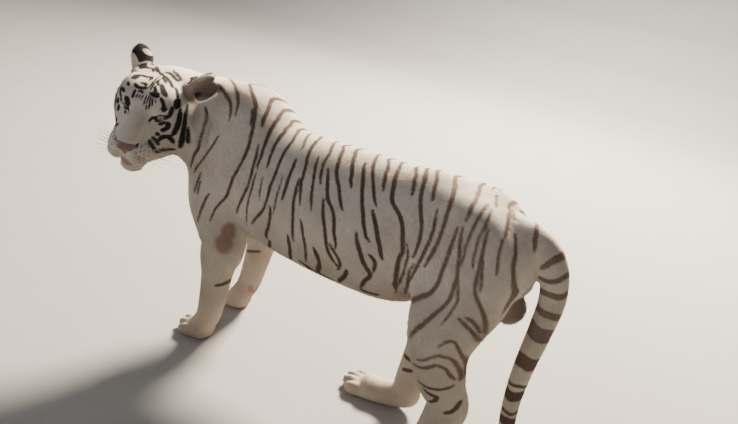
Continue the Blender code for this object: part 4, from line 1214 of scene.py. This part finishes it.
def dyed(finish, lightness):
    """The colour of the coat at a place: white, stripes, bare skin, and painted shade low on the legs and
    under the belly.
    """
    streak = finish.noise(210.0, 3.0, 0.65)
    cloud = finish.noise(9.0, 3.0)
    soft = finish.read("soft")
    depth = finish.read("mark") + (streak - 0.5) * 0.0045
    stripe = depth.ramp(-0.0018 - soft * 0.0014, 0.0018 + soft * 0.0014)
    # mixed in low on the legs and under the belly as painted shade, as well as soiled hair
    white = finish.mix(cloud.ramp(0.35, 0.75) * 0.30 + finish.read("soil_and_shade") * 0.7, WHITE_HAIR, SOIL_AND_SHADE_HAIR)
    white = finish.mix(finish.read("pink").ramp(0.1, 0.9) * 0.8, white, PINK_SKIN)
    dark = finish.mix(finish.read("brown").ramp(0.0, 1.0), BLACK_HAIR, BROWN_HAIR)
    dark = finish.mix(depth.ramp(0.0020, 0.0045) * soft * 0.5, dark, FADED_HAIR)
    white = finish.mix(finish.read("raw") * 0.85, white, RAW_SKIN)
    colour = finish.mix(stripe, white, dark)
    colour = finish.mix(finish.read("black").ramp(0.35, 0.65), colour, BLACK_HAIR)
    colour = finish.mix(finish.read("bare").ramp(0.3, 0.7), colour, NOSE_SKIN)
    return finish.mix(1.0, colour, grey_of(finish, streak * 0.30 + (lightness - 0.15)), "MULTIPLY")


def store(mesh, values):
    for name, value in values.items():
        layer = mesh.attributes.new(name, "FLOAT", "POINT")
        layer.data.foreach_set("value", value.astype(np.float32))


def skin_finish():
    finish = Finish("white_coat_skin")
    hair = finish.noise(420.0, 2.0, 0.6, (0.35, 1.0, 0.6))
    pores = finish.noise(900.0, 2.0)
    height = hair * 0.8 + pores * 0.2
    return finish.surface(
        Base_Color=dyed(finish, 0.92),
        Roughness=0.75 - 0.35 * finish.read("bare"),
        Normal=finish.bump(height, 0.0012, 0.6),
        Specular_IOR_Level=0.3,
    )


def new_piece(name, mesh, material):
    piece = placed(name, mesh)
    mesh.materials.append(material)
    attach(piece, "root")
    return piece


store(skin_mesh, markings(SKIN))
NORMALS = np.empty(len(SKIN) * 3)
skin_mesh.vertices.foreach_get("normal", NORMALS)
NORMALS = NORMALS.reshape(-1, 3)
skin_mesh.calc_loop_triangles()
TRIANGLES = np.empty(len(skin_mesh.loop_triangles) * 3, int)
skin_mesh.loop_triangles.foreach_get("vertices", TRIANGLES)
TRIANGLES = TRIANGLES.reshape(-1, 3)
skin_mesh.shade_smooth()
skin_mesh.transform(Matrix.Translation(SHIFT))
skin_mesh.name = "skin"
skin = new_piece("skin", skin_mesh, skin_finish())
FLESH = ["head", "neck", "trunk", "tail", "foreleg_left", "foreleg_right", "hind_leg_left", "hind_leg_right",
         "ear_left", "ear_right"]
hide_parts(*FLESH)


# ---------------------------------------------------------------- coat
# Short hair in thin tufts that lie along the body, from the nose back over the head, along the flanks and
# down the legs. Each is a closed spike rooted in the skin, longest in the ears, on the cheeks and the belly.
def lie(p):
    """The way that the hair runs at each place."""
    q = head_place(p)
    head = on_head(p)[:, None]
    from_nose = (q - (0.20, 0, -0.03)) @ HEAD
    from_nose /= norms(from_nose)[:, None]
    body = np.stack([np.ones(len(p)), np.zeros(len(p)), -0.55 * np.sin(from_spine(p))], 1)
    neck = ((1 - smooth(-0.60, -0.44, p[:, 0])) * smooth(0.50, 0.62, p[:, 2]))[:, None]
    body = body * (1 - neck) + np.array([0.70, 0.45, -0.55]) * neck
    fore_or_hind = np.maximum(1 - smooth(-0.34, -0.26, p[:, 0]), smooth(0.16, 0.24, p[:, 0]))
    leg = (1 - smooth(0.36, 0.58, p[:, 2])) * fore_or_hind
    leg = (leg * (1 - smooth(0.57, 0.60, p[:, 0])))[:, None]
    body = body * (1 - leg) + np.array([0.18, 0.0, -1.0]) * leg
    tail_part = smooth(0.56, 0.60, p[:, 0])[:, None]
    if tail_part.any():
        near = np.argmin(((p[:, None, [0, 2]] - TAIL_LINE.line[None, :, [0, 2]]) ** 2).sum(2), axis=1)
        body = body * (1 - tail_part) + TAIL_LINE.run[near] * tail_part
    way = body * (1 - head) + from_nose * head
    for (_, rise, _), gap in zip(EARS, from_ears(q)):
        ear = (1 - smooth(0.042, 0.060, gap))[:, None]
        way = way * (1 - ear) + head_way(*unit(rise)) * ear
    return way


def patch_place(p):
    """Where a root lies on the unwrapped skin, from 0 to 1 both ways."""
    q = head_place(p)
    head = on_head(p) > 0.5
    tail_part = p[:, 0] > 0.585
    leg = (p[:, 2] < 0.44) & ~tail_part
    u = 0.30 + 0.68 * np.clip((p[:, 0] + 0.70) / 1.30, 0, 1)
    v = 0.34 + 0.64 * (np.arctan2(p[:, 1], p[:, 2] - AXIS_HEIGHT) / (2 * math.pi) + 0.5)
    azimuth = np.arctan2(q[:, 1], q[:, 0]) / (2 * math.pi) + 0.5
    rise = np.arctan2(q[:, 2], np.hypot(q[:, 0], q[:, 1])) / math.pi + 0.5
    u = np.where(head, 0.01 + 0.27 * rise, u)
    v = np.where(head, 0.34 + 0.64 * azimuth, v)
    front = p[:, 0] < -0.1
    right = p[:, 1] > 0.0
    axis_x = np.where(front, -0.47, 0.34)
    axis_y = np.where(right, 0.11, -0.13)
    turn = np.arctan2(p[:, 1] - axis_y, p[:, 0] - axis_x) / (2 * math.pi) + 0.5
    lane = front * 2 + right * 1
    u = np.where(leg, 0.01 + 0.20 * lane + 0.18 * turn, u)
    v = np.where(leg, 0.01 + 0.30 * np.clip(p[:, 2] / 0.45, 0, 1), v)
    ring = np.arctan2(p[:, 1], p[:, 0] - 0.64) / (2 * math.pi) + 0.5
    u = np.where(tail_part, 0.82 + 0.16 * ring, u)
    v = np.where(tail_part, 0.01 + 0.30 * np.clip(p[:, 2], 0, 1), v)
    return np.stack([u, v], 1)


EDGES = SKIN[TRIANGLES[:, 1:]] - SKIN[TRIANGLES[:, :1]]
AREAS = norms(np.cross(EDGES[:, 0], EDGES[:, 1])) / 2
CENTRES = SKIN[TRIANGLES].mean(1)


def roots(chosen, density, seed):
    """Places spread evenly over the chosen triangles: their positions and the skin's normals there."""
    weight = AREAS * chosen * density
    ends = np.cumsum(weight)
    count = int(ends[-1])
    dice = np.random.default_rng(seed)
    picks = np.searchsorted(ends, (np.arange(count) + dice.random(count)) * ends[-1] / count)
    picks = np.minimum(picks, len(weight) - 1)
    a, b = dice.random(count), dice.random(count)
    over = a + b > 1
    a, b = np.where(over, 1 - a, a)[:, None], np.where(over, 1 - b, b)[:, None]
    corner = TRIANGLES[picks]
    shares = (1 - a - b, a, b)
    p = sum(SKIN[corner[:, k]] * shares[k] for k in range(3))
    n = sum(NORMALS[corner[:, k]] * shares[k] for k in range(3))
    return p, n / norms(n)[:, None], dice


def spikes(p, n, dice, length, width, lift, spread):
    """For each root, a spike's corners (two at the skin, a ridge, the tip), its way, side and length."""
    count = len(p)
    way = lie(p)
    way = way - n * np.einsum("ij,ij->i", way, n)[:, None]
    way /= np.maximum(norms(way), 1e-6)[:, None]
    side = np.cross(n, way)
    way = way + side * (dice.normal(size=(count, 1)) * spread)
    way /= norms(way)[:, None]
    side = np.cross(n, way)
    usual = length(p)[:, None] if callable(length) else length
    long = usual * (0.75 + 0.5 * dice.random((count, 1)))
    wide = width * (0.8 + 0.4 * dice.random((count, 1)))
    raised = lift * (0.6 + 0.8 * dice.random((count, 1)))
    base = p - n * wide * 0.35
    tip = p + way * long * np.cos(raised) + n * long * np.sin(raised)
    ridge = base + (tip - base) * 0.25 + n * wide * 0.8
    corners = np.stack([base + side * wide / 2, base - side * wide / 2, ridge, tip], 1)
    corners[:, :, 2] = np.maximum(corners[:, :, 2], FLOOR + 0.0002)
    return corners, way, side, long


def tuft_mesh(name, corners, lean, spots):
    """Closed four-sided spikes, shaded by the lean of their hair, each on its spot of the unwrapped skin."""
    first = np.arange(len(corners))[:, None, None] * 4
    faces = (first + np.array([[0, 2, 3], [2, 1, 3], [1, 0, 3], [0, 1, 2]])).reshape(-1, 3)
    mesh = bpy.data.meshes.new(name)
    mesh.vertices.add(len(corners) * 4)
    mesh.vertices.foreach_set("co", (corners + SHIFT).ravel())
    mesh.loops.add(faces.size)
    mesh.loops.foreach_set("vertex_index", faces.ravel())
    mesh.polygons.add(len(faces))
    mesh.polygons.foreach_set("loop_start", np.arange(0, faces.size, 3))
    mesh.update(calc_edges=True)
    mesh.shade_smooth()
    lean = lean.reshape(-1, 3)
    mesh.normals_split_custom_set_from_vertices(lean / norms(lean)[:, None])
    unwrap = mesh.uv_layers.new(name="OFBake")
    unwrap.data.foreach_set("uv", spots.reshape(-1, 2)[faces.ravel()].ravel().astype(np.float32))
    return mesh


def grow(name, chosen, density, length, width, lift, seed, spread=0.20, finish=None):
    """A piece of coat: a spike for each root. Its length may be a number or a function of the place."""
    p, n, dice = roots(chosen, density, seed)
    corners, way, side, long = spikes(p, n, dice, length, width, lift, spread)
    near = markings(p + way * long * 0.35)
    far = markings(p + way * long * 0.95)
    values = {key: np.stack([near[key]] * 3 + [far[key]], 1).ravel() for key in near}
    fine = dice.normal(size=(len(p), 1)) * 0.0010
    values["mark"] = values["mark"] + np.repeat(fine, 4, 1).ravel()
    values["tuft"] = np.repeat(dice.random((len(p), 1)), 4, 1).ravel()
    lean = np.stack([n + side * 0.45, n - side * 0.45, n, n + way * 0.25], 1)
    spots = patch_place(p)[:, None, :] + np.array([[0, 0], [0.003, 0], [0.0015, 0.0012], [0.0015, 0.003]])
    mesh = tuft_mesh(name, corners, lean, spots)
    store(mesh, values)
    new_piece(name, mesh, finish or COAT)


def coat_finish(name, lightness=0.98):
    finish = Finish(name)
    tone = finish.read("tuft") * 0.26 + (lightness - 0.16)
    return finish.surface(
        Base_Color=finish.mix(1.0, dyed(finish, 1.0), grey_of(finish, tone), "MULTIPLY"),
        Roughness=0.72 + 0.2 * finish.read("tuft"),
        Specular_IOR_Level=0.15,
    )


COAT = coat_finish("white_coat_hair")
PLENTY = 1.0
head_part = on_head(CENTRES) > 0.5
face_part = head_part & (head_place(CENTRES)[:, 0] > 0.045)
tail_zone = (CENTRES[:, 0] > 0.575) & (CENTRES[:, 2] < 0.86)
leg_zone = (CENTRES[:, 0] < -0.30) | (CENTRES[:, 0] > 0.16) | (CENTRES[:, 2] < 0.42)
leg_zone &= (CENTRES[:, 2] < 0.46) & ~tail_zone
neck_zone = (CENTRES[:, 0] < -0.50) & ~head_part & ~leg_zone
trunk_zone = ~head_part & ~neck_zone & ~tail_zone & ~leg_zone
bare_zone = markings(CENTRES)["bare"] > 0.15


def body_length(p):
    return 0.0115 + 0.006 * smooth(110, 160, np.degrees(from_spine(p)))


def leg_length(p):
    return 0.0050 + 0.0055 * smooth(0.08, 0.40, p[:, 2])


def face_length(p):
    q = head_place(p)
    return 0.0030 + 0.0040 * (1 - smooth(0.05, 0.14, q[:, 0]))


def crown_length(p):
    q = head_place(p)
    ruff = smooth(0.085, 0.125, np.abs(q[:, 1])) * (1 - smooth(0.02, 0.06, q[:, 2]))
    return (0.0090 + 0.012 * ruff) * (1 - near_ear(p)) + 0.0040 * near_ear(p)


grow("coat_face", face_part & ~bare_zone, 420000 * PLENTY, face_length, 0.0009, 0.22, 11)
grow("coat_head", head_part & ~face_part, 230000 * PLENTY, crown_length, 0.0013, 0.26, 12)
grow("coat_neck", neck_zone, 150000 * PLENTY, 0.0125, 0.0016, 0.26, 13)
for number, (low, high) in enumerate(((-0.60, -0.19), (-0.19, 0.20), (0.20, 0.70)), 1):
    slab = trunk_zone & (CENTRES[:, 0] > low) & (CENTRES[:, 0] <= high)
    grow("coat_trunk_%d" % number, slab, 92000 * PLENTY, body_length, 0.0017, 0.26, 20 + number)
grow("coat_forelegs", leg_zone & (CENTRES[:, 0] < -0.1), 120000 * PLENTY, leg_length, 0.0014, 0.22, 31)
grow("coat_hind_legs", leg_zone & (CENTRES[:, 0] >= -0.1), 120000 * PLENTY, leg_length, 0.0014, 0.22, 32)
grow("coat_tail", tail_zone, 150000 * PLENTY, 0.012, 0.0015, 0.22, 33)


def ear_lock_length(p):
    return 0.012 + 0.014 * smooth(-0.02, 0.02, head_place(p)[:, 0] + 0.03)


ear_front = head_part & (near_ear(CENTRES) > 0.5)
ear_front &= (head_place(CENTRES)[:, 0] > -0.030) & (head_place(CENTRES)[:, 2] > 0.10)
ear_hair = coat_finish("ear_lock_hair")
grow("coat_ears", ear_front, 16000 * PLENTY, ear_lock_length, 0.0011, 0.75, 41, spread=0.5, finish=ear_hair)


# ---------------------------------------------------------------- eyes
# Two glass-bright eyeballs with a raised cornea: a pale grey-green iris with a dark rim, and a round pupil.
# They are wet and clear in front, and lie in the sockets of the skull, held by the lids.
EYE_RADIUS = 0.0195  # the solid eye's


def eyeball(name, out):
    centre = eye_place(out)
    gaze = head_way(*eye_ways(out)[0])
    radius = EYE_RADIUS * 0.985  # of the ball behind its bulging cornea
    bm = bmesh.new()
    bmesh.ops.create_uvsphere(bm, u_segments=64, v_segments=48, radius=radius)
    for vertex in bm.verts:
        share = vertex.co.z / radius
        vertex.co *= 1.0 + 0.05 * float(smooth(0.72, 0.90, np.array(share)))
    turn = Vector((0, 0, 1)).rotation_difference(Vector(gaze)).to_matrix()
    angle = [math.degrees(math.acos(max(-1, min(1, vertex.co.normalized().z)))) for vertex in bm.verts]
    for vertex in bm.verts:
        vertex.co = turn @ vertex.co + Vector(centre + SHIFT)
    mesh = mesh_of(name, bm)
    store(mesh, {"angle": np.array(angle)})
    mesh.shade_smooth()
    finish = Finish(name + "_glass")
    off = finish.read("angle")
    fibre = finish.noise(700.0, 3.0, 0.6)
    iris = finish.mix(off.ramp(9.0, 27.0), (0.155, 0.180, 0.130), (0.100, 0.130, 0.105))
    iris = finish.mix(fibre.ramp(0.35, 0.75) * 0.4, iris, (0.23, 0.25, 0.19))
    iris = finish.mix(off.ramp(24.5, 29.0), iris, (0.018, 0.018, 0.020))
    colour = finish.mix(off.ramp(7.0, 8.5), (0.004, 0.004, 0.005), iris)
    colour = finish.mix(off.ramp(34.0, 46.0), colour, (0.085, 0.055, 0.048))
    rough = 0.08 + 0.1 * off.ramp(38.0, 44.0)
    glass = finish.surface(Base_Color=colour, Roughness=rough, Coat_Weight=1.0, Coat_Roughness=0.03)
    return new_piece(name, mesh, glass)


for side_name, out in (("left", 1), ("right", -1)):
    eye = eyeball("eyeball_" + side_name, out)
    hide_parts("eye_" + side_name)


# ---------------------------------------------------------------- claws
# Hooked horn claws, drawn back into the toes as in a walking cat, so that only their tips show. Each grows
# from the last bone of its toe, and narrows to a point.
def claw(bm, root, ahead):
    across = np.cross(ahead, (0, 0, 1))
    rings = []
    for t in np.arange(7) / 6:
        bend = math.radians(10 + 75 * t)
        at = root + 0.016 * math.sin(bend) * ahead + np.array([0, 0, 0.016 * (math.cos(bend) - 1)])
        over = np.cross(across, ahead * math.cos(bend) - np.array([0, 0, math.sin(bend)]))
        half = 0.0001 + 0.0030 * (1 - t) ** 0.8
        turns = np.radians(range(0, 360, 45))
        rings.append([at + half * (0.6 * across * math.cos(a) + over * math.sin(a)) for a in turns])
    tube(bm, rings)


bm = bmesh.new()
for paw, heading, breadth in PAWS.values():
    ahead = unit((*heading, 0))
    for toe in toes(paw, heading, breadth):
        claw(bm, toe.centre + ahead * 0.021 + np.array([0, 0, 0.014]) + SHIFT, ahead)
bmesh.ops.recalc_face_normals(bm, faces=bm.faces)
claw_mesh = mesh_of("claws", bm)
claw_mesh.shade_smooth()
finish = Finish("claw_horn")
grain = finish.noise(500.0, 3.0, 0.6, (1.0, 1.0, 0.2))
horn = finish.mix(grain.ramp(0.3, 0.7), (0.42, 0.36, 0.30), (0.24, 0.19, 0.16))
horn_finish = finish.surface(Base_Color=horn, Roughness=0.35, Normal=finish.bump(grain, 0.0003))
claws = new_piece("claws", claw_mesh, horn_finish)


# ---------------------------------------------------------------- whiskers
# Long tapering bristles in four rows on each whisker pad. They are stiff pale hairs, thicker than the coat's,
# and rooted deep in the lip.
def bristles(name, stems, radius):
    bm = bmesh.new()
    for start, way, droop, length in stems:
        start, way, droop = np.array(start), unit(way), np.array(droop)
        rings = []
        for t in np.arange(9) / 8:
            at = start + way * length * t + droop * length * t * t
            run = unit(way + 2 * droop * t)
            across = unit(np.cross(run, (0.3, 0.2, 0.9)))
            over = np.cross(run, across)
            size = radius * (1 - 0.85 * t)
            turns = (0, 2.094, 4.189)
            rings.append([at + size * (across * math.cos(a) + over * math.sin(a)) for a in turns])
        tube(bm, rings)
    bmesh.ops.recalc_face_normals(bm, faces=bm.faces)
    mesh = mesh_of(name, bm)
    mesh.shade_smooth()
    finish = Finish(name + "_bristle")
    colour = finish.mix(finish.noise(60.0).ramp(0.3, 0.7), (0.82, 0.80, 0.76), (0.66, 0.62, 0.56))
    return new_piece(name, mesh, finish.surface(Base_Color=colour, Roughness=0.35))


stems = []
dice = np.random.default_rng(5)
for out in (1, -1):
    for row in range(4):
        for k in range(5):
            place = (0.190 - 0.014 * k, out * (0.044 + 0.0075 * k), -0.052 - 0.011 * row + 0.001 * k)
            way = head_way(0.10 - 0.10 * k, out * 1.0, 0.06 - 0.10 * row) + dice.normal(size=3) * 0.05
            length = 0.055 + 0.012 * k + 0.01 * dice.random()
            stems.append((in_head(*place) + SHIFT, way, head_way(-0.30, 0.0, -0.22), length))
whiskers = bristles("whiskers", stems, 0.00055)


# ---------------------------------------------------------------- studio
# A plain pale floor that runs up into the backdrop, a large soft lamp over the back, one on the backdrop, a
# faint one on the near side, and soft air all round. The camera stands by the near haunch, above the back.
floor_mesh = bpy.data.meshes.new("studio_floor")
curve = [(6 + 2 * math.sin(a), 2 - 2 * math.cos(a)) for a in np.radians([20, 40, 60, 80, 90])]
rows = [(-9, 0.0), (6, 0.0)] + curve + [(8, 9)]
corners = [(x, y, z) for y, z in rows for x in (-12, 12)]
floor_mesh.from_pydata(corners, [], [(2 * i, 2 * i + 1, 2 * i + 3, 2 * i + 2) for i in range(len(rows) - 1)])
finish = Finish("pale_floor")
pale = finish.mix(finish.noise(3.0), (0.35, 0.345, 0.335), (0.385, 0.38, 0.37))
floor_mesh.materials.append(finish.surface(Base_Color=pale, Roughness=0.9))
floor = placed("studio_floor", floor_mesh)


def lamp(kind, name, place, target, power, colour, size):
    light = bpy.data.lights.new(name, kind)
    light.energy, light.color = power, colour
    light.shape, light.size = "DISK", size
    thing = placed(name, light)
    thing.location = place
    thing.rotation_euler = (Vector(target) - Vector(place)).to_track_quat("-Z", "Y").to_euler()


lamp("AREA", "key_lamp", (-0.3, 5.0, 5.0), (0.05, 0, 0.7), 2900, (1.0, 0.85, 0.68), 1.6)
lamp("AREA", "backdrop_lamp", (0, 4.4, 5.4), (0, 8.5, 0.8), 500, (1.0, 0.95, 0.90), 3.0)
lamp("AREA", "fill_lamp", (-2.2, -3.5, 2.2), (0, 0, 0.6), 30, (0.97, 0.98, 1.0), 2.5)
world = bpy.data.worlds.new("studio_air")
bpy.context.scene.world = world
world.use_nodes = True
air = world.node_tree.nodes["Background"].inputs
air["Color"].default_value = (0.92, 0.91, 0.90, 1)
air["Strength"].default_value = 0.30

CAMERA_AT = (0.825, -1.53, 1.465)
VIEW_TURN, VIEW_RISE, VIEW_ROLL = np.radians((27.39, 23.91, 10.63))
away = math.cos(VIEW_RISE)
back = np.array([math.sin(VIEW_TURN) * away, -math.cos(VIEW_TURN) * away, math.sin(VIEW_RISE)])
level = unit(np.cross((0, 0, 1), back))
raised = np.cross(back, level)
right = level * math.cos(VIEW_ROLL) + raised * math.sin(VIEW_ROLL)
lens = bpy.data.cameras.new("studio_camera")
lens.sensor_width, lens.lens = 36.0, 29.27
camera = placed("studio_camera", lens)
stand = np.column_stack([right, np.cross(back, right), back, np.array(CAMERA_AT) + SHIFT])
camera.matrix_world = Matrix(np.vstack([stand, (0, 0, 0, 1)]).tolist())
bpy.context.scene.camera = camera
